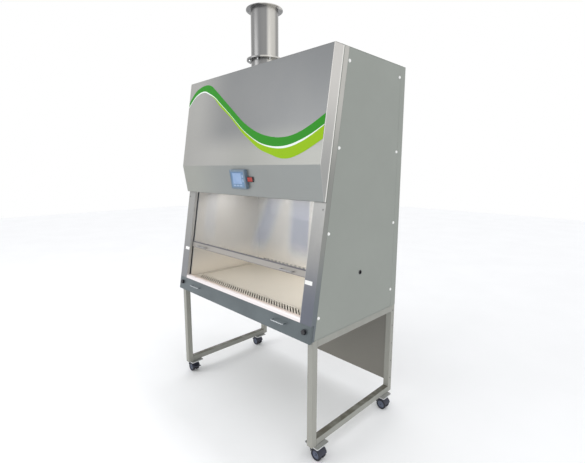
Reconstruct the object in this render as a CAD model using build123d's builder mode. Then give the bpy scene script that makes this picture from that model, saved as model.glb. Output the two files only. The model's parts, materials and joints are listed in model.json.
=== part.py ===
from build123d import *

import os
from math import atan, cos, degrees, hypot, radians, sin, tan

# Ducted biosafety cabinet on a castered stand: casing, work chamber, filters, blower, sliding
# sash with its counterweights, hinged service cover and exhaust duct.
#
# Millimetres, +Z up.  X runs along the front (+X is the user's right), +Y points to the wall
# behind.  The origin lies on the floor, under the middle of the whole cabinet.
#
# The front leans back.  Pieces that follow it are set out by height and by "depth", which is
# measured square to the front plane, into the cabinet (negative depth stands proud of it).

os.makedirs("parts", exist_ok=True)

# ---------------------------------------------------------------- overall sizes
cabinet_width = 1400.0
depth_base = 862.0  # rear face to the front plane, at the casing's underside
depth_top = 612.0  # the same, at the casing's top
stand_height = 736.0  # floor to the casing's underside
casing_height = 1552.0
sheet = 2.0  # folded steel of the outer casing
liner = 2.0  # stainless sheet of the work chamber
touch_gap = 0.3  # between parts that move past each other
shaft_gap = 0.05  # radial, between a shaft and its bore

# ---------------------------------------------------------------- stand
tube = 40.0  # square tube, outside
tube_wall = 2.0
tube_corner = 3.0
leg_setback = 28.0  # front legs stand this far behind the casing's front bottom edge
leg_foot_z = 100.0  # underside of the legs
back_sheet_bottom = 183.0
back_sheet_fold = 14.0

# ---------------------------------------------------------------- casters
caster_plate = 100.0
caster_plate_thickness = 6.0
caster_front_inset = 15.0  # plate, from the stand's front face
caster_rear_inset = 40.0  # and from its rear face
kingpin_radius = 6.0
kingpin_length = 20.0
wheel_diameter = 70.0
wheel_width = 19.0
wheel_gap = 9.5  # from the caster's middle to each wheel's inner face
caster_trail = 14.0
axle_radius = 4.0
fender_gap = 2.0
fender_wall = 3.0
swivel_seat_radius = 26.0
pedal_width = 34.0
pedal_reach = 34.0
pedal_pin_radius = 2.5

# ---------------------------------------------------------------- front frame
post_width = 86.0
post_depth = 36.0
post_return = 18.0  # inner fold, towards the window
apron_top = 91.0  # above the casing's underside
apron_drop = 4.0  # below it
apron_fold = 18.0
apron_gap = 0.5
base_fold = 28.0
shell_lift = 5.0  # underside of the outer panels, above the casing's underside
rear_strip = 55.0  # width of the rear corner folds, seen from the side
side_fold = 14.0
panel_gap = 1.0

# ---------------------------------------------------------------- pull handles and knobs
rod_radius = 3.5
handle_length = 100.0
handle_inset = 243.0  # middle of each handle, from the casing's side
handle_rise = 54.0  # of the apron's handles, above the casing's underside
handle_reach = 28.0
knob_inset = 45.0  # from the casing's side
knob_rise = 52.0
knob_radius = 15.0
knob_height = 14.0
knob_lobes = 6
knob_screw_radius = 3.0
knob_screw_length = 30.0

# ---------------------------------------------------------------- sill and sash
sill_height = 23.0
sill_nose = 8.0
sill_back_drop = 4.0
sill_depth = 38.0
glass_thickness = 6.0
glass_length = 690.0
glass_overlap = 18.0  # into each guide
glass_depth = 22.0
glass_slack = 0.5
sash_opening = 220.0  # height of the gap under the sash as it stands
guide_depth = 18.0
guide_back = 36.0
guide_lip = 3.0
guide_web = 6.0
guide_top_margin = 60.0
rail_height = 42.0
sash_handle_rise = 14.0  # above the glass's lower edge
rail_wall = 2.0
bracket_height = 30.0
bracket_thickness = 4.0

# ---------------------------------------------------------------- sash balance
belt_width = 10.0
belt_thickness = 1.5
belt_inset = 47.0  # middle of each belt, from the casing's side
pulley_radius = 20.0
pulley_width = 14.0
pulley_flange = 2.0
shaft_radius = 8.0
pulley_top_drop = 45.0  # from the casing's top
pulley_bottom_rise = 190.0  # from the casing's underside
bearing_block = 50.0
bearing_depth = 30.0
bearing_foot = 10.0
weight_length = 600.0
weight_width = 36.0
weight_thickness = 38.0
weight_rise = 650.0  # lower end, above the casing's underside

# ---------------------------------------------------------------- work chamber
tray_level = 100.0  # work surface, above the casing's underside
ceiling_level = 800.0
baffle_inset = 130.0  # rear wall to the baffle's front
pan_depth = 42.0
pan_floor = 40.0  # above the casing's underside
ledge = 14.0
rib_width = 16.0
fold_height = 16.0
tray_border = 20.0
tray_recess = 4.0
tray_clearance = 7.0
grille_width = 96.0
grille_slot_length = 92.0
grille_slot_width = 7.0
grille_slot_slant = 48.0  # degrees, from front-to-back towards the left
grille_slot_pitch = 24.0
grille_slot_margin = 44.0  # least, from the grille's ends
baffle_slot_margin = 40.0
baffle_slot_pitch = 48.0
baffle_slot_width = 24.0
baffle_slot_height = 10.0
diffuser_margin = 20.0
diffuser_rows = 5
diffuser_slot = (40.0, 8.0)
diffuser_pitch = (54.0, 100.0)

# ---------------------------------------------------------------- air system
bulkhead_depth = 70.0
supply_filter_height = 90.0
filter_frame = 20.0
pleat_pitch = 24.0
pleat_depth = 30.0
plenum_height = 108.0
blower_inset = 420.0  # from the casing's right side
blower_y_from_rear = 380.0
blower_radius = 170.0
blower_width = 300.0
blower_neck = 190.0
blower_axis_rise = 200.0  # above the supply plenum
inlet_radius = 100.0
impeller_radius = 120.0
impeller_width = 220.0
blade_count = 24
motor_radius = 55.0
motor_length = 110.0
motor_shaft_radius = 6.0
motor_arm = (12.0, 24.0)  # beyond the inlet, and width
hub_radius = 22.0
hub_length = 14.0
plate = 4.0  # blower's bracket, disc and rings
blade_depth = 22.0
blade_thickness = 3.0
exhaust_box_width = 620.0
exhaust_box_height = 166.0
exhaust_filter_width = 600.0
exhaust_filter_depth = 390.0
exhaust_filter_height = 160.0
intake_slots = 12
intake_slot_pitch = 30.0
intake_slot_length = 300.0
intake_slot_width = 8.0

# ---------------------------------------------------------------- exhaust duct
duct_inset = 400.0  # from the casing's left side
duct_y_from_rear = 303.0
duct_radius = 101.5
duct_wall = 1.5
collar_height = 169.0
duct_length = 350.0
flange_radius = 135.0
flange_thickness = 5.0
bolt_circle_radius = 118.5  # duct's upper flange
joint_circle_radius = 115.0  # joint of duct and collar
bolt_count = 8
bolt_hole_radius = 4.5
bolt_radius = 4.0
bolt_tail = 12.0  # below the lower flange
nut_radius = 7.2
nut_height = 7.0
bolt_head_height = 6.0

# ---------------------------------------------------------------- front cover and controls
cover_bulge = 80.0  # upper facet, proud of the front plane
cover_lip = 17.0  # lower edge, proud of the front plane
cover_lip_fold = 7.0
cover_bend_rise = 943.0  # above the casing's underside
cover_edge_rise = 748.0
cover_bend_radius = 6.0
cover_seat = 0.5
hinge_ahead = 29.0  # hinge axis, ahead of the front plane at the casing's top
hinge_rise = 10.0
hinge_pin_radius = 3.0
hinge_barrel_radius = 7.0
hinge_barrel_length = 24.0
hinge_inset = 140.0  # outer hinges, from the casing's sides
hinge_leaf_length = 32.0
hinge_leaf_thickness = 3.0
hinge_neck = 8.0
screen_x = 3.0
screen_rise = 857.0
screen_size = (158.0, 124.0)
screen_housing_depth = 22.0
screen_window = (134.0, 101.0)
screen_recess = 3.0
switch_x = 114.0
switch_size = (44.0, 27.0)
switch_rim = 3.0
switch_rock = 9.0  # degrees, either side of level
switch_pin_radius = 1.5
switch_pin_reach = 2.0  # into the frame, each side

# ---------------------------------------------------------------- lamps, caps and side port
lamp_radius = 13.0
lamp_end_gap = 37.0  # from the chamber's side walls
lamp_setback = 50.0  # behind the sash guides
lamp_drop = 40.0  # below the diffuser
lamp_body = (40.0, 22.0)
lamp_holder = (12.0, 30.0)
uv_radius = 8.0
uv_length = 880.0
uv_standoff = 26.0  # from the baffle
uv_drop = 110.0
uv_holder = (14.0, 24.0)
cap_radius = 9.5
cap_height = 4.0
cap_rises = (125.0, 578.0, 1031.0, 1482.0)
cap_edge = 12.0  # from the side panel's upright edges
port_y_from_rear = 421.0
port_rise = 311.0
port_radius = 9.0
port_sleeve = 2.0
port_flange = 4.0

# ================================================================ worked-out places
half_width = cabinet_width / 2
lean = atan((depth_base - depth_top) / casing_height)
slope = tan(lean)
up_slope = Vector(0, sin(lean), cos(lean))
outwards = Vector(0, -cos(lean), sin(lean))
casing_top = stand_height + casing_height
handle_x = half_width - handle_inset
knob_x = half_width - knob_inset
belt_x = half_width - belt_inset
duct_x = duct_inset - half_width
blower_x = half_width - blower_inset

handle_front = handle_reach * cos(lean) + rod_radius - handle_rise * slope
rear_y = (depth_base + handle_front) / 2
front_base_y = rear_y - depth_base


def front_y(z, depth=0.0):
    return front_base_y + (z - stand_height) * slope + depth / cos(lean)


def front_plane(z, depth=0.0, x=0.0):
    # local x along the cabinet, local y up the slope, local z outwards
    face = Plane(origin=(x, front_y(z), z), x_dir=(1, 0, 0), z_dir=outwards)
    return face.offset(-depth)


def slab(x_low, x_high, z_low, z_high, depth_out, depth_in, mode=Mode.ADD):
    # a bar that follows the front plane, with level ends
    with BuildSketch(Plane.YZ.offset(x_low)) as profile:
        with BuildLine():
            Polyline(
                (front_y(z_low, depth_out), z_low),
                (front_y(z_high, depth_out), z_high),
                (front_y(z_high, depth_in), z_high),
                (front_y(z_low, depth_in), z_low),
                close=True,
            )
        make_face()
    extrude(profile.sketch, amount=x_high - x_low, mode=mode)


def square_slab(x_low, x_high, z_low, z_high, depth_out, depth_in, mode=Mode.ADD):
    # the same, with ends square to the front plane; heights are taken at the plane
    with BuildSketch(front_plane(z_low, depth_out, (x_low + x_high) / 2)) as profile:
        rise = (z_high - z_low) / cos(lean)
        with Locations((0, rise / 2)):
            Rectangle(x_high - x_low, rise)
    extrude(profile.sketch, amount=depth_out - depth_in, mode=mode)


def across(first, second):
    return min(first, second), max(first, second)


def block(x, y, z, mode=Mode.ADD):
    # a box given by its low and high limit along each axis
    with Locations(((x[0] + x[1]) / 2, (y[0] + y[1]) / 2, (z[0] + z[1]) / 2)):
        Box(x[1] - x[0], y[1] - y[0], z[1] - z[0], mode=mode)


def save(piece, name):
    piece.label = name
    export_step(piece, f"parts/{name}.step")


def pull_handle(plane, mode=Mode.ADD):
    # two bent rods, each a bar on two legs that stand on the plane
    for side in (-1, 1):
        x_near = side * handle_x - handle_length / 2
        x_far = side * handle_x + handle_length / 2
        with BuildLine(plane) as path:
            FilletPolyline(
                (x_near, 0, 0),
                (x_near, 0, handle_reach),
                (x_far, 0, handle_reach),
                (x_far, 0, 0),
                radius=2.5 * rod_radius,
            )
        with BuildSketch(Plane(origin=path.line @ 0, z_dir=path.line % 0)) as section:
            Circle(rod_radius)
        sweep(section.sketch, path=path.line, mode=mode)


# ================================================================ stand
leg_front_y = front_base_y + leg_setback
leg_x = half_width - tube / 2
leg_ys = (leg_front_y + tube / 2, rear_y - tube / 2)

with BuildPart() as stand_legs:
    with BuildSketch(Plane.XY.offset(leg_foot_z)):
        with Locations([(side * leg_x, y) for side in (-1, 1) for y in leg_ys]):
            RectangleRounded(tube, tube, tube_corner)
            Rectangle(tube - 2 * tube_wall, tube - 2 * tube_wall, mode=Mode.SUBTRACT)
    extrude(amount=stand_height - leg_foot_z)
save(stand_legs.part, "stand_legs")

rail_run = (leg_front_y + tube, rear_y - tube)
with BuildPart() as stand_rails:
    rail_levels = (leg_foot_z + tube / 2, stand_height - tube / 2)
    with BuildSketch(Plane.XZ.offset(-rail_run[0])):
        with Locations([(side * leg_x, z) for side in (-1, 1) for z in rail_levels]):
            RectangleRounded(tube, tube, tube_corner)
            Rectangle(tube - 2 * tube_wall, tube - 2 * tube_wall, mode=Mode.SUBTRACT)
    extrude(amount=-(rail_run[1] - rail_run[0]))
    with BuildSketch(Plane.YZ.offset(-half_width + tube)):
        with Locations((rear_y - tube / 2, stand_height - tube / 2)):
            RectangleRounded(tube, tube, tube_corner)
            Rectangle(tube - 2 * tube_wall, tube - 2 * tube_wall, mode=Mode.SUBTRACT)
    extrude(amount=cabinet_width - 2 * tube)
save(stand_rails.part, "stand_rails")

back_sheet_z = (back_sheet_bottom, stand_height - tube)
with BuildPart() as stand_back_panel:
    panel_x = (-half_width + tube, half_width - tube)
    panel_y = (rear_y - tube / 2 - back_sheet_fold, rear_y - tube / 2)
    block(panel_x, panel_y, back_sheet_z)
    inner_x = (panel_x[0] + sheet, panel_x[1] - sheet)
    inner_z = (back_sheet_z[0] + sheet, back_sheet_z[1] - sheet)
    block(inner_x, (panel_y[0] + sheet, panel_y[1]), inner_z, Mode.SUBTRACT)
save(stand_back_panel.part, "stand_back_panel")

# ================================================================ casters
caster_y = {
    "front": leg_front_y + caster_front_inset + caster_plate / 2,
    "rear": rear_y - caster_rear_inset - caster_plate / 2,
}
plate_bottom = leg_foot_z - caster_plate_thickness
wheel_radius = wheel_diameter / 2

with BuildPart() as caster_plates:
    plate_centres = [(side * leg_x, y) for side in (-1, 1) for y in caster_y.values()]
    with BuildSketch(Plane.XY.offset(plate_bottom)):
        with Locations(plate_centres):
            RectangleRounded(caster_plate, caster_plate, 8)
    extrude(amount=caster_plate_thickness)
    with BuildSketch(Plane.XY.offset(plate_bottom - kingpin_length)):
        with Locations(plate_centres):
            Circle(kingpin_radius)
    extrude(amount=kingpin_length)
save(caster_plates.part, "caster_plates")


def caster_plane(side, y, offset=0.0):
    # local x runs outwards along the trail, local y up, local z along the axle
    return Plane(
        origin=(side * (leg_x + caster_trail), y, wheel_radius),
        x_dir=(side, 0, 0),
        z_dir=(0, -side, 0),
    ).offset(offset)


fender_radius = wheel_radius + fender_gap
fender_half = wheel_gap + wheel_width + 1.0
seat_top = plate_bottom - touch_gap
seat_bottom = wheel_radius + fender_radius + fender_wall - 4.0
web_half = wheel_gap - 1.5
pedal_pivot = (-fender_radius - 6.0, 16.0)

for side_name, side in (("left", -1), ("right", 1)):
    for end_name, y in caster_y.items():
        corner = f"caster_{end_name}_{side_name}"
        has_brake = end_name == "front"

        with BuildPart() as housing:
            # hood over both wheels
            with BuildSketch(caster_plane(side, y, -fender_half)):
                Circle(fender_radius + fender_wall)
                Circle(fender_radius, mode=Mode.SUBTRACT)
                with Locations((0, -wheel_radius - 5)):
                    Rectangle(4 * wheel_radius, 2 * wheel_radius + 26, mode=Mode.SUBTRACT)
            extrude(amount=2 * fender_half)
            # web between the wheels, with the axle through it
            with BuildSketch(caster_plane(side, y, -web_half)):
                Circle(wheel_radius * 0.6)
                with Locations((0, wheel_radius / 2 + 2)):
                    Rectangle(wheel_radius * 1.1, wheel_radius + 2)
            extrude(amount=2 * web_half)
            with BuildSketch(caster_plane(side, y, -fender_half)):
                Circle(axle_radius)
            extrude(amount=2 * fender_half)
            # swivel seat on the kingpin
            with BuildSketch(Plane.XY.offset(seat_bottom)):
                with Locations((side * leg_x, y)):
                    Circle(swivel_seat_radius)
            extrude(amount=seat_top - seat_bottom)
            with BuildSketch(Plane.XY.offset(plate_bottom - kingpin_length - touch_gap)):
                with Locations((side * leg_x, y)):
                    Circle(kingpin_radius + shaft_gap)
            extrude(amount=kingpin_length + 1, mode=Mode.SUBTRACT)
            if has_brake:
                # ears that carry the pedal's pin
                for ear in (-1, 1):
                    ear_low = ear * (pedal_width / 2 + 3) - 2.5
                    with BuildSketch(caster_plane(side, y, ear_low)):
                        with Locations(pedal_pivot):
                            Circle(5)
                        with Locations((pedal_pivot[0] + 5, pedal_pivot[1] + 3)):
                            Rectangle(9, 10)
                    extrude(amount=5)
                with BuildSketch(caster_plane(side, y, -pedal_width / 2 - 5.5)):
                    with Locations(pedal_pivot):
                        Circle(pedal_pin_radius)
                extrude(amount=pedal_width + 11)
        save(housing.part, f"{corner}_housing")

        with BuildPart() as wheels:
            for face in (-wheel_gap - wheel_width, wheel_gap):
                with BuildSketch(caster_plane(side, y, face)):
                    Circle(wheel_radius)
                    Circle(axle_radius + shaft_gap, mode=Mode.SUBTRACT)
                extrude(amount=wheel_width)
            rims = wheels.edges().filter_by(GeomType.CIRCLE).sort_by(SortBy.RADIUS)[-4:]
            fillet(rims, 5)
            # dished outer faces around the hub caps
            for face, depth in ((wheel_gap + wheel_width, -4), (-wheel_gap - wheel_width, 4)):
                with BuildSketch(caster_plane(side, y, face)):
                    Circle(wheel_radius * 0.72)
                    Circle(wheel_radius * 0.3, mode=Mode.SUBTRACT)
                extrude(amount=depth, mode=Mode.SUBTRACT)
        save(wheels.part, f"{corner}_wheels")

        if has_brake:
            with BuildPart() as pedal:
                with BuildSketch(caster_plane(side, y, -pedal_width / 2)):
                    with Locations(pedal_pivot):
                        Circle(5)
                    with BuildLine():
                        Polyline(
                            (pedal_pivot[0] + 2, pedal_pivot[1] + 4.5),
                            (pedal_pivot[0] - pedal_reach, pedal_pivot[1] + 12),
                            (pedal_pivot[0] - pedal_reach - 2, pedal_pivot[1] + 8),
                            (pedal_pivot[0] - 2, pedal_pivot[1] - 1),
                            close=True,
                        )
                    make_face()
                    with Locations(pedal_pivot):
                        Circle(pedal_pin_radius + shaft_gap, mode=Mode.SUBTRACT)
                extrude(amount=pedal_width)
            save(pedal.part, f"{corner}_brake")

# ================================================================ casing
with BuildPart() as base_pan:
    # floor of the casing, with a fold all round and its feet on the stand
    base_y = (front_y(stand_height + base_fold, post_depth), rear_y - sheet)
    base_x = (-half_width, half_width)
    fold_top = stand_height + base_fold
    block(base_x, base_y, (stand_height, fold_top))
    block(
        (base_x[0] + sheet, base_x[1] - sheet),
        (base_y[0] + sheet, base_y[1] - sheet),
        (stand_height + sheet, fold_top),
        Mode.SUBTRACT,
    )
    # the side folds stand inside the side panels' own folds
    for side in (-1, 1):
        skin = across(side * half_width, side * (half_width - side_fold))
        block(skin, base_y, (stand_height + shell_lift, fold_top), Mode.SUBTRACT)
        fold_outer = half_width - side_fold
        fold = across(side * fold_outer, side * (fold_outer - sheet))
        block(fold, base_y, (stand_height + sheet, fold_top))
save(base_pan.part, "base_pan")

shell_bottom = stand_height + shell_lift
shell_top = casing_top - sheet
with BuildPart() as rear_shell:
    block((-half_width, half_width), (rear_y - rear_strip, rear_y), (shell_bottom, shell_top))
    block(
        (-half_width + sheet, half_width - sheet),
        (rear_y - rear_strip, rear_y - sheet),
        (shell_bottom, shell_top),
        Mode.SUBTRACT,
    )
save(rear_shell.part, "rear_shell")

duct_y = rear_y - duct_y_from_rear
hinge_y = front_y(casing_top) - hinge_ahead
with BuildPart() as top_panel:
    block((-half_width, half_width), (hinge_y - 1, rear_y), (casing_top - sheet, casing_top))
    with BuildSketch(Plane.XY.offset(casing_top - sheet)):
        with Locations((duct_x, duct_y)):
            Circle(duct_radius - duct_wall)
        with Locations((blower_x + 60, rear_y - blower_y_from_rear + 40)):
            with GridLocations(intake_slot_pitch, 0, intake_slots, 1):
                Rectangle(intake_slot_width, intake_slot_length)
    extrude(amount=sheet, mode=Mode.SUBTRACT)
save(top_panel.part, "top_panel")

port_y = rear_y - port_y_from_rear
port_z = stand_height + port_rise
panel_rear_y = rear_y - rear_strip - panel_gap
for name, side in (("side_panel_left", -1), ("side_panel_right", 1)):
    with BuildPart() as side_panel:
        z_low, z_high = shell_bottom + panel_gap, shell_top - panel_gap
        edge = post_depth + panel_gap

        def panel_outline(inset):
            Polyline(
                (front_y(z_low + inset, edge + inset), z_low + inset),
                (front_y(z_high - inset, edge + inset), z_high - inset),
                (panel_rear_y - inset, z_high - inset),
                (panel_rear_y - inset, z_low + inset),
                close=True,
            )

        with BuildSketch(Plane.YZ.offset(side * half_width)):
            with BuildLine():
                panel_outline(0)
            make_face()
        extrude(amount=-side * side_fold)
        with BuildSketch(Plane.YZ.offset(side * (half_width - sheet))):
            with BuildLine():
                panel_outline(sheet)
            make_face()
        extrude(amount=-side * side_fold, mode=Mode.SUBTRACT)
        if side > 0:
            with BuildSketch(Plane.YZ.offset(half_width - sheet)):
                with Locations((port_y, port_z)):
                    Circle(port_radius + port_sleeve)
            extrude(amount=sheet, mode=Mode.SUBTRACT)
    save(side_panel.part, name)

with BuildPart() as port_grommet:
    with BuildSketch(Plane.YZ.offset(half_width - sheet - 3)):
        with Locations((port_y, port_z)):
            Circle(port_radius + port_sleeve)
    extrude(amount=sheet + 3)
    with BuildSketch(Plane.YZ.offset(half_width)):
        with Locations((port_y, port_z)):
            Circle(port_radius + port_flange)
    extrude(amount=2.5)
    with BuildSketch(Plane.YZ.offset(half_width - sheet - 3)):
        with Locations((port_y, port_z)):
            Circle(port_radius)
    extrude(amount=sheet + 6, mode=Mode.SUBTRACT)
save(port_grommet.part, "port_grommet")

with BuildPart() as screw_caps:
    for side in (-1, 1):
        with BuildSketch(Plane.YZ.offset(side * half_width)):
            for rise in cap_rises:
                z = stand_height + rise
                front_cap = front_y(z, post_depth + panel_gap + cap_edge)
                rear_cap = panel_rear_y - cap_edge
                with Locations((front_cap, z), (rear_cap, z)):
                    Circle(cap_radius)
        extrude(amount=side * cap_height, taper=25)
save(screw_caps.part, "screw_caps")

# ================================================================ front frame
apron_top_z = stand_height + apron_top
window_half = half_width - post_width
with BuildPart() as front_posts:
    for side in (-1, 1):
        inner = side * window_half
        outer = side * half_width

        slab(*across(inner, outer), shell_bottom - 5, shell_top, 0, post_depth)
        # pocket for the apron's end
        low = shell_bottom - 10
        slab(*across(inner - side, outer + side), low, apron_top_z, -5, apron_fold + 2, Mode.SUBTRACT)
        # hollow behind the front sheet, open to the rear
        hollow = across(inner + side * sheet, outer - side * sheet)
        slab(*hollow, apron_top_z + sheet, shell_top, sheet, post_depth + 5, Mode.SUBTRACT)
        slab(*hollow, low, apron_top_z + 5, apron_fold + 2 + sheet, post_depth + 5, Mode.SUBTRACT)
        # the inner fold stops at the sash guide
        fold = across(inner - side, inner + side * sheet)
        slab(*fold, low, shell_top + 5, post_return, post_depth + 5, Mode.SUBTRACT)
    knob_plane = front_plane(stand_height + knob_rise, apron_fold + 2)
    with BuildSketch(knob_plane):
        with Locations((-knob_x, 0), (knob_x, 0)):
            Circle(knob_screw_radius + shaft_gap)
    extrude(amount=-2 * sheet, mode=Mode.SUBTRACT)
save(front_posts.part, "front_posts")

sill_front_z = apron_top_z
sill_top_z = apron_top_z + sill_height
sill_back_y = front_y(sill_top_z) + sill_depth + 2
pan_rim_z = stand_height + tray_level - fold_height
with BuildPart() as sill:
    with BuildSketch(Plane.YZ.offset(-window_half)):
        with BuildLine():
            FilletPolyline(
                (front_y(sill_front_z), sill_front_z),
                (front_y(sill_top_z), sill_top_z),
                (sill_back_y, sill_top_z - sill_back_drop),
                radius=sill_nose,
            )
            Polyline(
                (sill_back_y, sill_top_z - sill_back_drop),
                (sill_back_y, pan_rim_z),
                (sill_back_y - sheet, pan_rim_z),
                (sill_back_y - sheet, sill_top_z - sill_back_drop - sheet),
            )
            FilletPolyline(
                (sill_back_y - sheet, sill_top_z - sill_back_drop - sheet),
                (front_y(sill_top_z - sheet, sheet), sill_top_z - sheet),
                (front_y(sill_front_z, sheet), sill_front_z),
                radius=sill_nose - sheet,
            )
            Line(
                (front_y(sill_front_z, sheet), sill_front_z),
                (front_y(sill_front_z), sill_front_z),
            )
        make_face()
    extrude(amount=2 * window_half)
    # the ends stop at the chamber's side walls
    for side in (-1, 1):
        end_x = across(side * (window_half - liner), side * (window_half + 1))
        slab(*end_x, pan_rim_z - 5, sill_top_z + 5, guide_back, 3 * guide_back, Mode.SUBTRACT)
save(sill.part, "sill")

# ================================================================ apron
with BuildPart() as apron_panel:
    z_low = stand_height - apron_drop
    z_high = apron_top_z - apron_gap
    square_slab(-half_width, half_width, z_low, z_high, 0, apron_fold)
    inner_half = half_width - sheet
    hollow_z = (z_low + sheet, z_high - sheet)
    square_slab(-inner_half, inner_half, *hollow_z, sheet, apron_fold + 5, Mode.SUBTRACT)
    with BuildSketch(front_plane(stand_height + knob_rise, -1)):
        with Locations((-knob_x, 0), (knob_x, 0)):
            Circle(knob_screw_radius + shaft_gap)
    extrude(amount=-2 * sheet, mode=Mode.SUBTRACT)
save(apron_panel.part, "apron_panel")

with BuildPart() as apron_handles:
    pull_handle(front_plane(stand_height + handle_rise))
save(apron_handles.part, "apron_handles")

for name, side in (("apron_knob_left", -1), ("apron_knob_right", 1)):
    with BuildPart() as knob:
        seat = front_plane(stand_height + knob_rise, -touch_gap, side * knob_x)
        with BuildSketch(seat):
            Circle(knob_radius * 0.8)
            with PolarLocations(knob_radius * 0.72, knob_lobes):
                Circle(knob_radius * 0.28)
        extrude(amount=knob_height)
        with BuildSketch(seat):
            Circle(knob_screw_radius)
        extrude(amount=-knob_screw_length)
    save(knob.part, name)

# ================================================================ sash guides
guide_z = (sill_top_z, shell_top - guide_top_margin)
glass_half = window_half + glass_overlap
slot_low = glass_depth - glass_slack
slot_high = glass_depth + glass_thickness + glass_slack
guide_outer = glass_half + 2 + guide_web
with BuildPart() as sash_guides:
    for side in (-1, 1):
        face = side * (window_half - guide_lip)
        slab(*across(face, side * window_half), *guide_z, 1, guide_depth)
        slab(*across(face, side * guide_outer), *guide_z, guide_depth, guide_back)
        slot_x = across(face - side, side * (glass_half + 2))
        slab(*slot_x, guide_z[0] - 5, guide_z[1] + 5, slot_low, slot_high, Mode.SUBTRACT)
        # slit that lets the belt brackets run up and down
        slit_x = across(side * glass_half, side * (guide_outer + 5))
        slab(*slit_x, stand_height + cover_edge_rise, guide_z[1] - 20, slot_low, slot_high, Mode.SUBTRACT)
save(sash_guides.part, "sash_guides")

# ================================================================ sash
sash_bottom_z = sill_top_z + sash_opening
sash_plane = front_plane(sash_bottom_z, glass_depth)
with BuildPart() as sash_glass:
    with BuildSketch(sash_plane):
        with Locations((0, glass_length / 2)):
            Rectangle(2 * glass_half, glass_length)
    extrude(amount=-glass_thickness)
save(sash_glass.part, "sash_glass")

rail_half = window_half - guide_lip - 2
glass_middle = -glass_thickness / 2
with BuildPart() as sash_rails:
    # channels along the lower and upper edges of the glass
    for level, closed_end in ((0, -rail_wall), (glass_length - rail_height, rail_height)):
        thickness = glass_thickness + 2 * rail_wall
        with BuildSketch(sash_plane.offset(rail_wall)):
            with Locations((0, level + rail_height / 2 + (rail_wall / 2) * (1 if level else -1))):
                Rectangle(2 * rail_half, rail_height + rail_wall)
        extrude(amount=-thickness)
        with BuildSketch(sash_plane):
            with Locations((0, level + rail_height / 2)):
                Rectangle(2 * rail_half + 10, rail_height)
        extrude(amount=-glass_thickness, mode=Mode.SUBTRACT)
    # flat bar over the top edge, which reaches out to the belts
    bar_top = sash_plane.offset(glass_middle + bracket_thickness / 2)
    with BuildSketch(bar_top):
        with Locations((0, glass_length + bracket_height / 2)):
            Rectangle(2 * (belt_x + belt_width / 2), bracket_height)
    extrude(amount=-bracket_thickness)
    pull_handle(front_plane(sash_bottom_z + sash_handle_rise, glass_depth - rail_wall))
save(sash_rails.part, "sash_rails")

# ================================================================ sash balance
run_depth = glass_depth + glass_thickness / 2 + bracket_thickness / 2 + touch_gap
axis_depth = run_depth + belt_thickness + pulley_radius
pulley_top_z = casing_top - pulley_top_drop - pulley_radius
pulley_bottom_z = stand_height + pulley_bottom_rise
belt_span = (pulley_top_z - pulley_bottom_z) / cos(lean)


def pulley(plane):
    # grooved roller, centred on the plane
    with BuildSketch(plane.offset(-pulley_width / 2)) as body:
        Circle(pulley_radius + pulley_flange)
    extrude(body.sketch, amount=pulley_width)
    with BuildSketch(plane.offset(-pulley_width / 2 + pulley_flange - touch_gap)) as groove:
        Circle(pulley_radius + 2 * pulley_flange)
        Circle(pulley_radius - touch_gap, mode=Mode.SUBTRACT)
    groove_width = pulley_width - 2 * (pulley_flange - touch_gap)
    extrude(groove.sketch, amount=groove_width, mode=Mode.SUBTRACT)


def cross_plane(x, z, depth):
    # local x up the slope, local y outwards, local z along +X
    return Plane(origin=(x, front_y(z, depth), z), x_dir=up_slope, z_dir=(1, 0, 0))


with BuildPart() as sash_belts:
    for side in (-1, 1):
        low_end = cross_plane(side * belt_x - belt_width / 2, pulley_bottom_z, axis_depth)
        with BuildSketch(low_end):
            with Locations((belt_span / 2, 0)):
                SlotCenterToCenter(belt_span, 2 * (pulley_radius + belt_thickness))
                SlotCenterToCenter(belt_span, 2 * pulley_radius, mode=Mode.SUBTRACT)
        extrude(amount=belt_width)
save(sash_belts.part, "sash_belts")

with BuildPart() as sash_shaft:
    shaft_half = belt_x + pulley_width / 2 + bearing_block / 2 - 10
    with BuildSketch(cross_plane(-shaft_half, pulley_top_z, axis_depth)):
        Circle(shaft_radius)
    extrude(amount=2 * shaft_half)
    for side in (-1, 1):
        pulley(cross_plane(side * belt_x, pulley_top_z, axis_depth))
save(sash_shaft.part, "sash_shaft")

with BuildPart() as belt_idlers:
    for side in (-1, 1):
        middle = cross_plane(side * belt_x, pulley_bottom_z, axis_depth)
        pulley(middle)
        with BuildSketch(middle.offset(-pulley_width / 2)):
            Circle(shaft_radius + shaft_gap)
        extrude(amount=pulley_width, mode=Mode.SUBTRACT)
save(belt_idlers.part, "belt_idlers")

with BuildPart() as pulley_brackets:
    near = belt_x + pulley_width / 2 + 1
    for side in (-1, 1):
        for z, takes_shaft in ((pulley_top_z, True), (pulley_bottom_z, False)):
            # block against the side panel's fold, with a foot on the post's outer wall
            block_x = across(side * near, side * (half_width - side_fold))
            with BuildSketch(cross_plane(block_x[0], z, axis_depth)):
                Rectangle(bearing_block, bearing_depth)
            extrude(amount=block_x[1] - block_x[0])
            foot_x = across(side * near, side * (half_width - sheet))
            with BuildSketch(cross_plane(foot_x[0], z, post_depth - bearing_foot / 2)):
                Rectangle(bearing_block, bearing_foot)
            extrude(amount=foot_x[1] - foot_x[0])
            if takes_shaft:
                with BuildSketch(cross_plane(side * near, z, axis_depth)):
                    Circle(shaft_radius + shaft_gap)
                extrude(amount=side * (shaft_half - near + 1), mode=Mode.SUBTRACT)
            else:
                with BuildSketch(cross_plane(side * near, z, axis_depth)):
                    Circle(shaft_radius)
                extrude(amount=-side * (pulley_width + 2))
save(pulley_brackets.part, "pulley_brackets")

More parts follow.
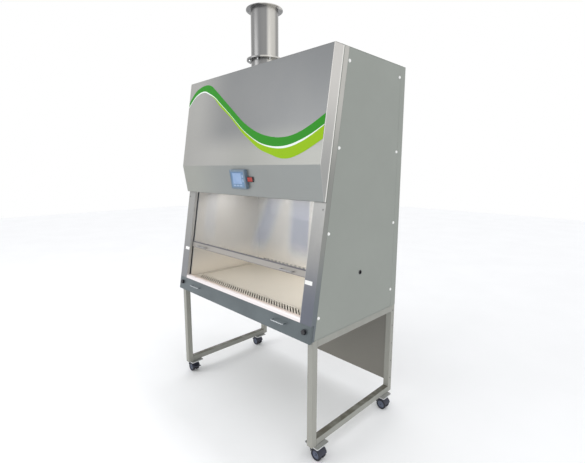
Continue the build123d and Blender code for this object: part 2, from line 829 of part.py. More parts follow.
weight_depth = axis_depth + pulley_radius + belt_thickness + touch_gap
with BuildPart() as counterweights:
    for side in (-1, 1):
        weight_x = across(side * (belt_x - 6), side * (belt_x - 6 + weight_width))
        bottom_z = stand_height + weight_rise
        top_z = bottom_z + weight_length * cos(lean)
        slab(*weight_x, bottom_z, top_z, weight_depth, weight_depth + weight_thickness)
save(counterweights.part, "counterweights")

# ================================================================ work chamber
ceiling_z = stand_height + ceiling_level
pan_floor_z = stand_height + pan_floor
chamber_half = window_half - liner
liner_rear_y = rear_y - sheet
wall_top = shell_top - 36
baffle_y = rear_y - baffle_inset
with BuildPart() as chamber_liner:
    for side in (-1, 1):
        wall = across(side * chamber_half, side * window_half)
        with BuildSketch(Plane.YZ.offset(wall[0])):
            with BuildLine():
                Polyline(
                    (front_y(apron_top_z, guide_back), pan_floor_z),
                    (front_y(apron_top_z, guide_back), apron_top_z - 6),
                    (front_y(sill_top_z, guide_back), sill_top_z),
                    (front_y(ceiling_z, guide_back), ceiling_z),
                    (front_y(ceiling_z, bulkhead_depth), ceiling_z),
                    (front_y(wall_top, bulkhead_depth), wall_top),
                    (liner_rear_y, wall_top),
                    (liner_rear_y, pan_floor_z),
                    close=True,
                )
            make_face()
        extrude(amount=liner)
save(chamber_liner.part, "chamber_liner")

pan_y = (sill_back_y - sheet, liner_rear_y)
tray_front_y = sill_back_y + grille_width + 2
rib_y = (tray_front_y - 10, tray_front_y - 10 + rib_width)
tray_rear_y = baffle_y - 4
rear_rib_y = (tray_rear_y - rib_width + 4, tray_rear_y + 4)
with BuildPart() as drain_pan:
    pan_x = (-chamber_half, chamber_half)
    block(pan_x, pan_y, (pan_floor_z, pan_rim_z))
    block(
        (pan_x[0] + liner, pan_x[1] - liner),
        (pan_y[0] + liner, pan_y[1] - liner),
        (pan_floor_z + liner, pan_rim_z),
        Mode.SUBTRACT,
    )
    rim_z = (pan_rim_z - liner, pan_rim_z)
    block(pan_x, (pan_y[0], pan_y[0] + ledge), rim_z)
    for side in (-1, 1):
        block(across(side * chamber_half, side * (chamber_half - ledge)), pan_y, rim_z)
    for rib in (rib_y, rear_rib_y):
        block(pan_x, rib, (pan_rim_z - ledge, pan_rim_z))
save(drain_pan.part, "drain_pan")

surface_z = stand_height + tray_level
loose_half = chamber_half - tray_clearance
with BuildPart() as work_tray:
    tray_y = (tray_front_y, tray_rear_y)
    block((-loose_half, loose_half), tray_y, (pan_rim_z, surface_z))
    under = pan_rim_z, surface_z - tray_recess - liner
    under_y = (tray_y[0] + liner, tray_y[1] - liner)
    block((-loose_half + liner, loose_half - liner), under_y, under, Mode.SUBTRACT)
    with BuildSketch(Plane.XY.offset(surface_z)):
        with Locations((0, (tray_y[0] + tray_y[1]) / 2)):
            RectangleRounded(
                2 * (loose_half - tray_border), tray_y[1] - tray_y[0] - 2 * tray_border, 12
            )
    extrude(amount=-tray_recess, mode=Mode.SUBTRACT)
save(work_tray.part, "work_tray")

grille_slot_count = int(2 * (loose_half - grille_slot_margin) // grille_slot_pitch)
baffle_slot_count = int(2 * (chamber_half - baffle_slot_margin) // baffle_slot_pitch)
diffuser_columns = int(2 * (chamber_half - diffuser_margin) // diffuser_pitch[0])

with BuildPart() as front_grille:
    grille_y = (sill_back_y + 1, sill_back_y + grille_width)
    block((-loose_half, loose_half), grille_y, (pan_rim_z, surface_z))
    under_y = (grille_y[0] + liner, grille_y[1] - liner)
    under = (pan_rim_z, surface_z - liner)
    block((-loose_half + liner, loose_half - liner), under_y, under, Mode.SUBTRACT)
    with BuildSketch(Plane.XY.offset(surface_z - liner)):
        with Locations((0, (grille_y[0] + grille_y[1]) / 2)):
            with GridLocations(grille_slot_pitch, 0, grille_slot_count, 1):
                Rectangle(grille_slot_width, grille_slot_length, rotation=grille_slot_slant)
    extrude(amount=liner, mode=Mode.SUBTRACT)
save(front_grille.part, "front_grille")

exhaust_filter_z = (shell_top - exhaust_filter_height, shell_top)
exhaust_box_z = (exhaust_filter_z[0] - exhaust_box_height, exhaust_filter_z[0])
with BuildPart() as rear_baffle:
    baffle_z = (pan_rim_z + 8, exhaust_box_z[0])
    block((-chamber_half, chamber_half), (baffle_y, baffle_y + liner), baffle_z)
    with BuildSketch(Plane.XZ.offset(-baffle_y - liner)):
        for level in (surface_z + 40, ceiling_z - 60):
            with Locations((0, level)):
                with GridLocations(baffle_slot_pitch, 0, baffle_slot_count, 1):
                    Rectangle(baffle_slot_width, baffle_slot_height)
    extrude(amount=liner, mode=Mode.SUBTRACT)
save(rear_baffle.part, "rear_baffle")

with BuildPart() as diffuser:
    diffuser_y = (front_y(ceiling_z, guide_back + 2), baffle_y)
    block((-chamber_half, chamber_half), diffuser_y, (ceiling_z, ceiling_z + liner))
    with BuildSketch(Plane.XY.offset(ceiling_z)):
        with Locations((0, (diffuser_y[0] + 90 + diffuser_y[1]) / 2)):
            with GridLocations(*diffuser_pitch, diffuser_columns, diffuser_rows):
                Rectangle(*diffuser_slot)
    extrude(amount=liner, mode=Mode.SUBTRACT)
save(diffuser.part, "diffuser")

with BuildPart() as plenum_bulkhead:
    bulkhead_x = (-chamber_half, chamber_half)
    slab(*bulkhead_x, ceiling_z + liner, wall_top, bulkhead_depth, bulkhead_depth + sheet)
save(plenum_bulkhead.part, "plenum_bulkhead")

# ================================================================ filters and plenums
filter_low = ceiling_z + liner
filter_high = filter_low + supply_filter_height
filter_front_y = front_y(filter_high, bulkhead_depth + sheet)


def pleats(x, y, z):
    # one folded sheet, its folds running front to rear
    count = int((x[1] - x[0]) // pleat_pitch)
    start = (x[0] + x[1] - count * pleat_pitch) / 2
    middle = (z[0] + z[1]) / 2
    low = middle - pleat_depth / 2
    folds = []
    for index in range(count):
        left = start + index * pleat_pitch
        folds.append((left, low))
        folds.append((left + pleat_pitch / 2, low + pleat_depth))
    folds.append((start + count * pleat_pitch, low))
    back = [(px, pz + 4) for px, pz in reversed(folds)]
    with BuildSketch(Plane.XZ.offset(-y[0])) as media:
        with BuildLine():
            Polyline(*folds, *back, close=True)
        make_face()
    extrude(media.sketch, amount=-(y[1] - y[0]))


def filter_frame_walls(x, y, z):
    block(x, y, z)
    inner_x = (x[0] + filter_frame, x[1] - filter_frame)
    inner_y = (y[0] + filter_frame, y[1] - filter_frame)
    block(inner_x, inner_y, z, Mode.SUBTRACT)


with BuildPart() as supply_filter:
    filter_x = (-chamber_half, chamber_half)
    filter_y = (filter_front_y, baffle_y)
    filter_frame_walls(filter_x, filter_y, (filter_low, filter_high))
    media_x = (filter_x[0] + filter_frame - 6, filter_x[1] - filter_frame + 6)
    media_y = (filter_y[0] + filter_frame, filter_y[1] - filter_frame)
    pleats(media_x, media_y, (filter_low, filter_high))
save(supply_filter.part, "supply_filter")

plenum_top = filter_high + plenum_height
blower_y = rear_y - blower_y_from_rear
blower_z = plenum_top + blower_axis_rise
neck_y = (blower_y - blower_radius, blower_y - blower_radius + blower_neck)
blower_half = blower_width / 2
with BuildPart() as supply_plenum:
    plenum_front_y = front_y(plenum_top, bulkhead_depth + sheet)
    box_x = (-chamber_half, chamber_half)
    box_y = (plenum_front_y, baffle_y)
    block(box_x, box_y, (filter_high, plenum_top))
    block(
        (box_x[0] + sheet, box_x[1] - sheet),
        (box_y[0] + sheet, box_y[1] - sheet),
        (filter_high, plenum_top - sheet),
        Mode.SUBTRACT,
    )
    outlet_x = (blower_x - blower_half + sheet, blower_x + blower_half - sheet)
    outlet_y = (neck_y[0] + sheet, neck_y[1] - sheet)
    block(outlet_x, outlet_y, (plenum_top - 5, plenum_top + 5), Mode.SUBTRACT)
save(supply_plenum.part, "supply_plenum")

with BuildPart() as blower_housing:
    # round scroll with a square neck down to the plenum
    for inset, mode in ((0, Mode.ADD), (sheet, Mode.SUBTRACT)):
        with BuildSketch(Plane.YZ.offset(blower_x - blower_half + inset)):
            with Locations((blower_y, blower_z)):
                Circle(blower_radius - inset)
            middle = (neck_y[0] + neck_y[1]) / 2
            with Locations((middle, (plenum_top + blower_z) / 2 - inset)):
                Rectangle(blower_neck - 2 * inset, blower_z - plenum_top)
        extrude(amount=blower_width - 2 * inset, mode=mode)
    with BuildSketch(Plane.YZ.offset(blower_x - blower_half)):
        with Locations((blower_y, blower_z)):
            Circle(inlet_radius)
    extrude(amount=blower_width, mode=Mode.SUBTRACT)
save(blower_housing.part, "blower_housing")

motor_x = blower_x + blower_half
with BuildPart() as blower_motor:
    # motor in the right-hand inlet, held by a three-armed bracket
    with BuildSketch(Plane.YZ.offset(motor_x + plate)):
        with Locations((blower_y, blower_z)):
            Circle(motor_radius)
    extrude(amount=-motor_length)
    with BuildSketch(Plane.YZ.offset(motor_x)):
        with Locations((blower_y, blower_z)):
            Circle(motor_radius)
            arm_length = inlet_radius + motor_arm[0]
            with PolarLocations(arm_length / 2, 3, start_angle=90):
                Rectangle(arm_length, motor_arm[1])
    extrude(amount=plate)
    with BuildSketch(Plane.YZ.offset(motor_x + plate)):
        with Locations((blower_y, blower_z)):
            Circle(motor_shaft_radius + shaft_gap)
    extrude(amount=-motor_length, mode=Mode.SUBTRACT)
save(blower_motor.part, "blower_motor")

with BuildPart() as blower_impeller:
    wheel_low = blower_x - impeller_width / 2
    hub_x = motor_x + plate - motor_length - touch_gap
    # back disc with its hub and the shaft that runs in the motor
    hub_back = hub_x - plate / 2 - hub_length
    with BuildSketch(Plane.YZ.offset(hub_x - 1.5 * plate)):
        with Locations((blower_y, blower_z)):
            Circle(impeller_radius)
    extrude(amount=plate)
    with BuildSketch(Plane.YZ.offset(hub_back)):
        with Locations((blower_y, blower_z)):
            Circle(hub_radius)
    extrude(amount=hub_length)
    with BuildSketch(Plane.YZ.offset(hub_back)):
        with Locations((blower_y, blower_z)):
            Circle(motor_shaft_radius)
    extrude(amount=motor_length)
    # forward-curved blades between the disc and two end rings
    with BuildSketch(Plane.YZ.offset(wheel_low)):
        with Locations((blower_y, blower_z)):
            with PolarLocations(impeller_radius - 0.55 * blade_depth, blade_count):
                Rectangle(blade_depth, blade_thickness, rotation=35)
    extrude(amount=impeller_width)
    for ring_x in (wheel_low, wheel_low + impeller_width - plate):
        with BuildSketch(Plane.YZ.offset(ring_x)):
            with Locations((blower_y, blower_z)):
                Circle(impeller_radius)
                Circle(impeller_radius - 0.9 * blade_depth, mode=Mode.SUBTRACT)
        extrude(amount=plate)
save(blower_impeller.part, "blower_impeller")

with BuildPart() as exhaust_plenum:
    box_x = (duct_x - exhaust_box_width / 2, duct_x + exhaust_box_width / 2)
    box_y = (duct_y - exhaust_filter_depth / 2, liner_rear_y)
    block(box_x, box_y, exhaust_box_z)
    inner_x = (box_x[0] + sheet, box_x[1] - sheet)
    inner_y = (box_y[0] + sheet, box_y[1] - sheet)
    block(inner_x, inner_y, (exhaust_box_z[0] + sheet, exhaust_box_z[1] - sheet), Mode.SUBTRACT)
    # air comes up behind the baffle and leaves through the filter above
    riser_y = (baffle_y + liner, liner_rear_y - sheet)
    block(inner_x, riser_y, (exhaust_box_z[0] - 5, exhaust_box_z[0] + 5), Mode.SUBTRACT)
    mouth_x = (duct_x - exhaust_filter_width / 2 + 30, duct_x + exhaust_filter_width / 2 - 30)
    mouth_half = exhaust_filter_depth / 2 - 30
    mouth_y = (duct_y - mouth_half, duct_y + mouth_half)
    block(mouth_x, mouth_y, (exhaust_box_z[1] - 5, exhaust_box_z[1] + 5), Mode.SUBTRACT)
save(exhaust_plenum.part, "exhaust_plenum")

with BuildPart() as exhaust_filter:
    filter_x = (duct_x - exhaust_filter_width / 2, duct_x + exhaust_filter_width / 2)
    filter_y = (duct_y - exhaust_filter_depth / 2, duct_y + exhaust_filter_depth / 2)
    filter_frame_walls(filter_x, filter_y, exhaust_filter_z)
    media_x = (filter_x[0] + filter_frame - 6, filter_x[1] - filter_frame + 6)
    media_y = (filter_y[0] + filter_frame, filter_y[1] - filter_frame)
    pleats(media_x, media_y, exhaust_filter_z)
save(exhaust_filter.part, "exhaust_filter")

# ================================================================ exhaust duct
collar_top = casing_top + collar_height
duct_top = collar_top + duct_length
joint_turn = 180 / bolt_count


def bolt_holes(z, thickness, circle, turn, radius=bolt_hole_radius, mode=Mode.SUBTRACT):
    with BuildSketch(Plane.XY.offset(z)) as ring:
        with Locations((duct_x, duct_y)):
            with PolarLocations(circle, bolt_count, start_angle=turn):
                Circle(radius)
    extrude(ring.sketch, amount=thickness, mode=mode)


def disc(z, thickness, radius, mode=Mode.ADD):
    with BuildSketch(Plane.XY.offset(z)) as plate:
        with Locations((duct_x, duct_y)):
            Circle(radius)
    extrude(plate.sketch, amount=thickness, mode=mode)


with BuildPart() as exhaust_collar:
    disc(casing_top, flange_thickness, flange_radius)
    disc(casing_top, collar_height, duct_radius)
    disc(collar_top - flange_thickness, flange_thickness, flange_radius)
    disc(casing_top, collar_height, duct_radius - duct_wall, Mode.SUBTRACT)
    bolt_holes(collar_top - flange_thickness, flange_thickness, joint_circle_radius, joint_turn)
save(exhaust_collar.part, "exhaust_collar")

with BuildPart() as exhaust_duct:
    disc(collar_top, duct_length, duct_radius)
    upper_z = duct_top - flange_thickness
    lower_bolts = (collar_top, joint_circle_radius, joint_turn)
    for z, circle, turn in (lower_bolts, (upper_z, bolt_circle_radius, 0)):
        disc(z, flange_thickness, flange_radius)
        bolt_holes(z, flange_thickness, circle, turn)
    disc(collar_top, duct_length, duct_radius - duct_wall, Mode.SUBTRACT)
save(exhaust_duct.part, "exhaust_duct")

with BuildPart() as duct_bolts:
    stack = 2 * flange_thickness
    under = collar_top - flange_thickness
    stud_length = stack + bolt_tail
    bolt_holes(under - bolt_tail, stud_length, joint_circle_radius, joint_turn, bolt_radius, Mode.ADD)
    for z, height in ((under - nut_height, nut_height), (under + stack, bolt_head_height)):
        with BuildSketch(Plane.XY.offset(z)):
            with Locations((duct_x, duct_y)):
                with PolarLocations(joint_circle_radius, bolt_count, start_angle=joint_turn):
                    RegularPolygon(nut_radius, 6)
        extrude(amount=height)
save(duct_bolts.part, "duct_bolts")

# ================================================================ lamps
lamp_y = front_y(ceiling_z, guide_back) + lamp_setback
lamp_z = ceiling_z - lamp_drop
lamp_length = 2 * (chamber_half - lamp_end_gap)
uv_y = baffle_y - uv_standoff
uv_z = ceiling_z - uv_drop
with BuildPart() as lamp_fittings:
    body_width, body_depth = lamp_body
    half = lamp_length / 2 + lamp_holder[0]
    body_y = (lamp_y - body_width / 2, lamp_y + body_width / 2)
    block((-half, half), body_y, (ceiling_z - body_depth, ceiling_z))
    for side in (-1, 1):
        holder_x = across(side * lamp_length / 2, side * half)
        holder_y = (lamp_y - lamp_holder[1] / 2, lamp_y + lamp_holder[1] / 2)
        holder_low = lamp_z - lamp_radius - touch_gap
        block(holder_x, holder_y, (holder_low, ceiling_z - body_depth))
        uv_holder_x = across(side * uv_length / 2, side * (uv_length / 2 + uv_holder[0]))
        uv_holder_z = (uv_z - uv_holder[1] / 2, uv_z + uv_holder[1] / 2)
        block(uv_holder_x, (uv_y - uv_holder[1] / 2, baffle_y), uv_holder_z)
save(lamp_fittings.part, "lamp_fittings")

with BuildPart() as lamp_tubes:
    lamp = (lamp_length, lamp_radius, lamp_y, lamp_z)
    uv_lamp = (uv_length, uv_radius, uv_y, uv_z)
    for length, radius, y, z in (lamp, uv_lamp):
        with BuildSketch(Plane.YZ.offset(-length / 2)):
            with Locations((y, z)):
                Circle(radius)
        extrude(amount=length)
save(lamp_tubes.part, "lamp_tubes")

# ================================================================ front cover
bend_z = stand_height + cover_bend_rise
edge_z = stand_height + cover_edge_rise
cover_top_y = front_y(casing_top, -cover_bulge)
hinge_z = casing_top + hinge_rise
bend_point = (front_y(bend_z, -cover_bulge), bend_z)
edge_point = (front_y(edge_z, -cover_lip), edge_z)
hinge_xs = (hinge_inset - half_width, 0, half_width - hinge_inset)
leaf_z = (casing_top, casing_top + hinge_leaf_thickness)
neck_z = casing_top + hinge_neck / 2
with BuildPart() as front_cover:
    # folded sheet: top fold, upper facet, lower facet and lip
    with BuildSketch(Plane.YZ.offset(-half_width)):
        with BuildLine():
            FilletPolyline(
                (hinge_y - 2, casing_top),
                (cover_top_y, casing_top),
                bend_point,
                edge_point,
                (edge_point[0] + cover_lip_fold, edge_z),
                radius=cover_bend_radius,
            )
            Line(
                (edge_point[0] + cover_lip_fold, edge_z),
                (edge_point[0] + cover_lip_fold, edge_z + sheet),
            )
            FilletPolyline(
                (edge_point[0] + cover_lip_fold, edge_z + sheet),
                (edge_point[0] + sheet, edge_z + sheet),
                (bend_point[0] + sheet, bend_z),
                (cover_top_y + sheet, casing_top - sheet),
                (hinge_y - 2, casing_top - sheet),
                radius=cover_bend_radius - sheet,
            )
            Line((hinge_y - 2, casing_top - sheet), (hinge_y - 2, casing_top))
        make_face()
    extrude(amount=cabinet_width)
    # end plates, which close on the posts
    for side in (-1, 1):
        end_x = across(side * half_width, side * (half_width - sheet))
        with BuildSketch(Plane.YZ.offset(end_x[0])):
            with BuildLine():
                Polyline(
                    (cover_top_y + 1, casing_top - sheet - 1),
                    (bend_point[0] + 1, bend_z),
                    (edge_point[0] + 1, edge_z + 1),
                    (front_y(edge_z + 1, -cover_seat), edge_z + 1),
                    (front_y(casing_top - sheet - 1, -cover_seat), casing_top - sheet - 1),
                    close=True,
                )
            make_face()
        extrude(amount=sheet)
    # leaves and middle barrels of the hinges
    for x in hinge_xs:
        leaf_x = (x - hinge_barrel_length / 2, x + hinge_barrel_length / 2)
        leaf_y = (hinge_y - sheet - hinge_leaf_length, hinge_y - sheet)
        block(leaf_x, leaf_y, leaf_z)
        with BuildSketch(Plane.YZ.offset(leaf_x[0])):
            with Locations((hinge_y, hinge_z)):
                Circle(hinge_barrel_radius)
            with Locations((hinge_y - sheet - hinge_neck / 2, neck_z)):
                Rectangle(hinge_neck, hinge_neck)
            with Locations((hinge_y, hinge_z)):
                Circle(hinge_pin_radius + shaft_gap, mode=Mode.SUBTRACT)
        extrude(amount=hinge_barrel_length)
save(front_cover.part, "front_cover")

with BuildPart() as hinge_brackets:
    # outer barrels, pins and leaves on the casing's top
    for x in hinge_xs:
        for side in (-1, 1):
            near = x + side * (hinge_barrel_length / 2 + touch_gap)
            far = near + side * hinge_barrel_length
            barrel_x = across(near, far)
            with BuildSketch(Plane.YZ.offset(barrel_x[0])):
                with Locations((hinge_y, hinge_z)):
                    Circle(hinge_barrel_radius)
                with Locations((hinge_y + sheet + hinge_neck / 2, neck_z)):
                    Rectangle(hinge_neck, hinge_neck)
            extrude(amount=barrel_x[1] - barrel_x[0])
            block(barrel_x, (hinge_y + sheet, hinge_y + sheet + hinge_leaf_length), leaf_z)
        pin_half = hinge_barrel_length * 1.5 + touch_gap
        with BuildSketch(Plane.YZ.offset(x - pin_half)):
            with Locations((hinge_y, hinge_z)):
                Circle(hinge_pin_radius)
        extrude(amount=2 * pin_half)
save(hinge_brackets.part, "hinge_brackets")

# ================================================================ screen and switch
facet_up = Vector(0, bend_point[0] - edge_point[0], bend_z - edge_z).normalized()
facet_out = Vector(0, -facet_up.Z, facet_up.Y)


def facet_plane(rise, x=0.0, out=0.0):
    # on the lower facet: local x along the cabinet, local y up the facet, local z outwards
    share = (stand_height + rise - edge_z) / (bend_z - edge_z)
    y = edge_point[0] + share * (bend_point[0] - edge_point[0])
    return Plane(origin=(x, y, stand_height + rise), x_dir=(1, 0, 0), z_dir=facet_out).offset(out)


with BuildPart() as screen_housing:
    with BuildSketch(facet_plane(screen_rise, screen_x)):
        RectangleRounded(*screen_size, 6)
    extrude(amount=screen_housing_depth)
    front_edges = screen_housing.faces().sort_by(Axis((0, 0, 0), tuple(facet_out)))[-1].edges()
    chamfer(front_edges, 3)
    with BuildSketch(facet_plane(screen_rise, screen_x, screen_housing_depth)):
        RectangleRounded(*screen_window, 3)
    extrude(amount=-screen_recess, mode=Mode.SUBTRACT)
save(screen_housing.part, "screen_housing")

with BuildPart() as screen_glass:
    with BuildSketch(facet_plane(screen_rise, screen_x, screen_housing_depth - screen_recess)):
        RectangleRounded(*screen_window, 3)
    extrude(amount=screen_recess - 1)
save(screen_glass.part, "screen_glass")

rock = radians(switch_rock)
rocker_along = Vector(cos(rock), 0, 0) - facet_out * sin(rock)
rocker_origin = facet_plane(screen_rise, switch_x, 5).origin
rocker_plane = Plane(origin=rocker_origin, x_dir=rocker_along, z_dir=-facet_up)

with BuildPart() as switch_frame:
    frame_size = (switch_size[0] + 2 * switch_rim, switch_size[1] + 2 * switch_rim)
    with BuildSketch(facet_plane(screen_rise, switch_x)):
        RectangleRounded(*frame_size, 3)
        Rectangle(*switch_size, mode=Mode.SUBTRACT)
    extrude(amount=8)
    pin_half = switch_size[1] / 2 + switch_pin_reach
    with BuildSketch(rocker_plane.offset(-pin_half)):
        Circle(switch_pin_radius + shaft_gap)
    extrude(amount=2 * pin_half, mode=Mode.SUBTRACT)
save(switch_frame.part, "switch_frame")

with BuildPart() as switch_rocker:
    # tipped to one stop; it turns on a pin through its middle
    width = switch_size[1] - 2 * touch_gap
    with BuildSketch(rocker_plane.offset(-width / 2)):
        with BuildLine():
            half = switch_size[0] / 2 - 2
            Polyline((-half, 5), (-half, -1), (half, -1), (half, 5), (0, 1.5), close=True)
        make_face()
    extrude(amount=width)
    with BuildSketch(rocker_plane.offset(-pin_half + touch_gap)):
        Circle(switch_pin_radius)
    extrude(amount=2 * (pin_half - touch_gap))
save(switch_rocker.part, "switch_rocker")
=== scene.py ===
import json
import math

import bpy
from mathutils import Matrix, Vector


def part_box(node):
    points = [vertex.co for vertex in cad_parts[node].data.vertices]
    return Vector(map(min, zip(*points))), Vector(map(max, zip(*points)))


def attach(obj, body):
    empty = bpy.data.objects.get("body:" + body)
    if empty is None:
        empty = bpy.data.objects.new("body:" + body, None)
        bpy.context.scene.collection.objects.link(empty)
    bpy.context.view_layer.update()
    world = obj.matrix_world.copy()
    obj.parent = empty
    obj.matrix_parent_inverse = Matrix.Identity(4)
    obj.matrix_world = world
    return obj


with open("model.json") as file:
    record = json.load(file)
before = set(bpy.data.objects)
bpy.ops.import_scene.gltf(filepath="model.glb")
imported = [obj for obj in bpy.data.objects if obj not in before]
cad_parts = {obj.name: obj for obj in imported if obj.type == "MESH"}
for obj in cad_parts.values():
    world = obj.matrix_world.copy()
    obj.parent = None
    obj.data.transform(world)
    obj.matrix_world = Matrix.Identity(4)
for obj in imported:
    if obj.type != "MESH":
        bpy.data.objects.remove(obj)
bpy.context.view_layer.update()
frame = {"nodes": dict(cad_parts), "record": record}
nodes = frame["nodes"]
joints = {joint["name"]: joint for joint in frame["record"]["behaviour"]["joints"]}

print("stage: camera")

# Standing eye height, before the cabinet's right front corner. Angles in radians.
viewCamera = {
    "place": (1.9838, -1.8043, 1.6509),
    "yaw": 0.785,
    "pitch": -0.157,
    "roll": 0.004,
    "focalPixels": 377.53,
    "centrePixels": (296.55, 229.77),
    "imagePixels": (585, 463),
    "sensor": 36.0,
}


def aimCamera(data):
    width, height = data["imagePixels"]
    yaw, pitch, roll = data["yaw"], data["pitch"], data["roll"]
    forward = Vector((-math.sin(yaw) * math.cos(pitch), math.cos(yaw) * math.cos(pitch), math.sin(pitch)))
    level = forward.cross(Vector((0, 0, 1))).normalized()
    upright = level.cross(forward)
    right = level * math.cos(roll) + upright * math.sin(roll)
    up = upright * math.cos(roll) - level * math.sin(roll)
    camera = bpy.data.objects.new("viewCamera", bpy.data.cameras.new("viewCamera"))
    bpy.context.scene.collection.objects.link(camera)
    turn = camera.matrix_world.to_3x3()
    turn.col[0], turn.col[1], turn.col[2] = right, up, -forward
    camera.matrix_world = turn.to_4x4()
    camera.location = data["place"]
    camera.data.sensor_width = data["sensor"]
    camera.data.lens = data["focalPixels"] * data["sensor"] / width
    camera.data.shift_x = (width / 2 - data["centrePixels"][0]) / width
    camera.data.shift_y = (data["centrePixels"][1] - height / 2) / width
    camera.data.dof.use_dof = False
    bpy.context.scene.camera = camera


aimCamera(viewCamera)

print("stage: materials")


# A value inside a node tree, which takes part in sums.
class Socket:
    def __init__(self, graph, output):
        self.graph = graph
        self.output = output

    def __add__(self, other):
        return self.graph.sum("ADD", self, other)

    def __radd__(self, other):
        return self.graph.sum("ADD", other, self)

    def __sub__(self, other):
        return self.graph.sum("SUBTRACT", self, other)

    def __rsub__(self, other):
        return self.graph.sum("SUBTRACT", other, self)

    def __mul__(self, other):
        return self.graph.sum("MULTIPLY", self, other)

    def __rmul__(self, other):
        return self.graph.sum("MULTIPLY", other, self)

    def __truediv__(self, other):
        return self.graph.sum("DIVIDE", self, other)

    def __rtruediv__(self, other):
        return self.graph.sum("DIVIDE", other, self)

    def __pow__(self, other):
        return self.graph.sum("POWER", self, other)

    def __abs__(self):
        return self.graph.sum("ABSOLUTE", self, 0.0)

    def most(self, other):
        return self.graph.sum("MAXIMUM", self, other)

    def above(self, other):
        return self.graph.sum("GREATER_THAN", self, other)

    def within(self, low, high):
        return self.above(low) * (1.0 - self.above(high))

    # Smooth step from 0 at low to 1 at high.
    def ramp(self, low, high):
        values = {"Value": self, "From Min": low, "From Max": high}
        return self.graph.node("ShaderNodeMapRange", values, "Result", interpolation_type="SMOOTHSTEP")

    # Rises between the first two values and falls between the last two.
    def band(self, rise, full, fall, gone):
        return self.ramp(rise, full) * (1.0 - self.ramp(fall, gone))


# The nodes of one material or of the world.
class Graph:
    def __init__(self, tree):
        self.tree = tree
        self.tree.nodes.clear()

    def node(self, kind, inputs, output=0, **settings):
        made = self.tree.nodes.new(kind)
        for key, value in settings.items():
            setattr(made, key, value)
        for key, value in inputs.items():
            socket = made.inputs[key]
            if isinstance(value, Socket):
                self.tree.links.new(value.output, socket)
            elif socket.type == "RGBA":
                socket.default_value = (*value, 1.0)
            else:
                socket.default_value = value
        return Socket(self, made.outputs[output])

    def sum(self, operation, first, second):
        return self.node("ShaderNodeMath", {0: first, 1: second}, operation=operation)

    def end(self, kind, shader):
        out = self.tree.nodes.new(kind)
        self.tree.links.new(shader.output, out.inputs["Surface"])


class Look(Graph):
    def __init__(self, name):
        self.material = bpy.data.materials.new(name)
        self.material.use_nodes = True
        super().__init__(self.material.node_tree)
        self.place = self.node("ShaderNodeTexCoord", {}, "Object")
        self.x, self.y, self.z = [
            self.node("ShaderNodeSeparateXYZ", {"Vector": self.place}, axis) for axis in "XYZ"
        ]

    def noise(self, scale, stretch=(1, 1, 1), detail=4.0, roughness=0.55):
        place = self.node("ShaderNodeMapping", {"Vector": self.place, "Scale": stretch})
        values = {"Vector": place, "Scale": scale, "Detail": detail, "Roughness": roughness}
        return self.node("ShaderNodeTexNoise", values, "Fac")

    # Sockets 6 and 7 of the mix node are its two colours, and output 2 the mixed one.
    def mix(self, share, first, second):
        values = {0: share, 6: first, 7: second}
        return self.node("ShaderNodeMix", values, 2, data_type="RGBA", clamp_factor=True)

    def bump(self, height, strength, distance):
        values = {"Height": height, "Strength": strength, "Distance": distance}
        return self.node("ShaderNodeBump", values, "Normal")

    def finish(self, inputs):
        self.end("ShaderNodeOutputMaterial", self.node("ShaderNodeBsdfPrincipled", inputs, "BSDF"))
        return self.material


# The leaning front plane runs through the posts' foremost point, along the sash's slide.
foremost = min((vertex.co for vertex in nodes["front_posts"].data.vertices), key=lambda point: point.y)
lift = Vector(joints["sash_slide"]["axis"])
slope = lift.y / lift.z


def frontY(z, proud=0.0):
    return foremost.y + (z - foremost.z) * slope - proud / lift.z


# How far a place lies behind the front plane.
def depthOf(look):
    rise = look.z - foremost.z
    return (look.y - foremost.y - rise * slope) * lift.z


def shade(colour, factor):
    return tuple(min(1.0, part * factor) for part in colour)


def dress(material, *names):
    for name in names:
        mesh = nodes[name].data
        mesh.materials.clear()
        mesh.materials.append(material)


tones = {
    "casing": (0.258, 0.276, 0.250),
    "stand": (0.290, 0.292, 0.262),
    "standPanel": (0.175, 0.168, 0.148),
    "apron": (0.130, 0.152, 0.161),
    "liner": (0.60, 0.58, 0.55),
    "tray": (0.555, 0.515, 0.445),
    "pan": (0.085, 0.050, 0.042),
    "zinc": (0.46, 0.47, 0.48),
    "bright": (0.72, 0.73, 0.74),
    "wire": (0.40, 0.42, 0.44),
    "screw": (0.16, 0.16, 0.16),
    "screenGrey": (0.135, 0.185, 0.235),
    "black": (0.018, 0.018, 0.022),
    "navy": (0.022, 0.024, 0.042),
    "red": (0.34, 0.030, 0.020),
    "white": (0.82, 0.82, 0.80),
    "marker": (0.80, 0.80, 0.78),
    "nylon": (0.62, 0.61, 0.56),
    "iron": (0.060, 0.065, 0.075),
}

# Brush lines in steel: a noise stretched along X or upright, and its faint relief.
brush = {"scale": 9.0, "along": (0.6, 60, 60), "upright": (60, 60, 0.6)}
brushBump = {"strength": 0.08, "distance": 0.0004}

# Textured powder coat: faint clouding, fine grain, a little dust low down.
paint = {
    "cloudScale": 2.2,
    "cloudRange": (0.3, 0.7),
    "cloud": 0.03,
    "speckleScale": 420.0,
    "grain": 0.12,
    "grainDepth": 0.0006,
    "dust": (0.42, 0.39, 0.33),
    "dustReach": (0.0, 0.9),
    "dustShare": 0.25,
    "roughnessScale": 9.0,
    "roughnessSpread": 0.16,
}


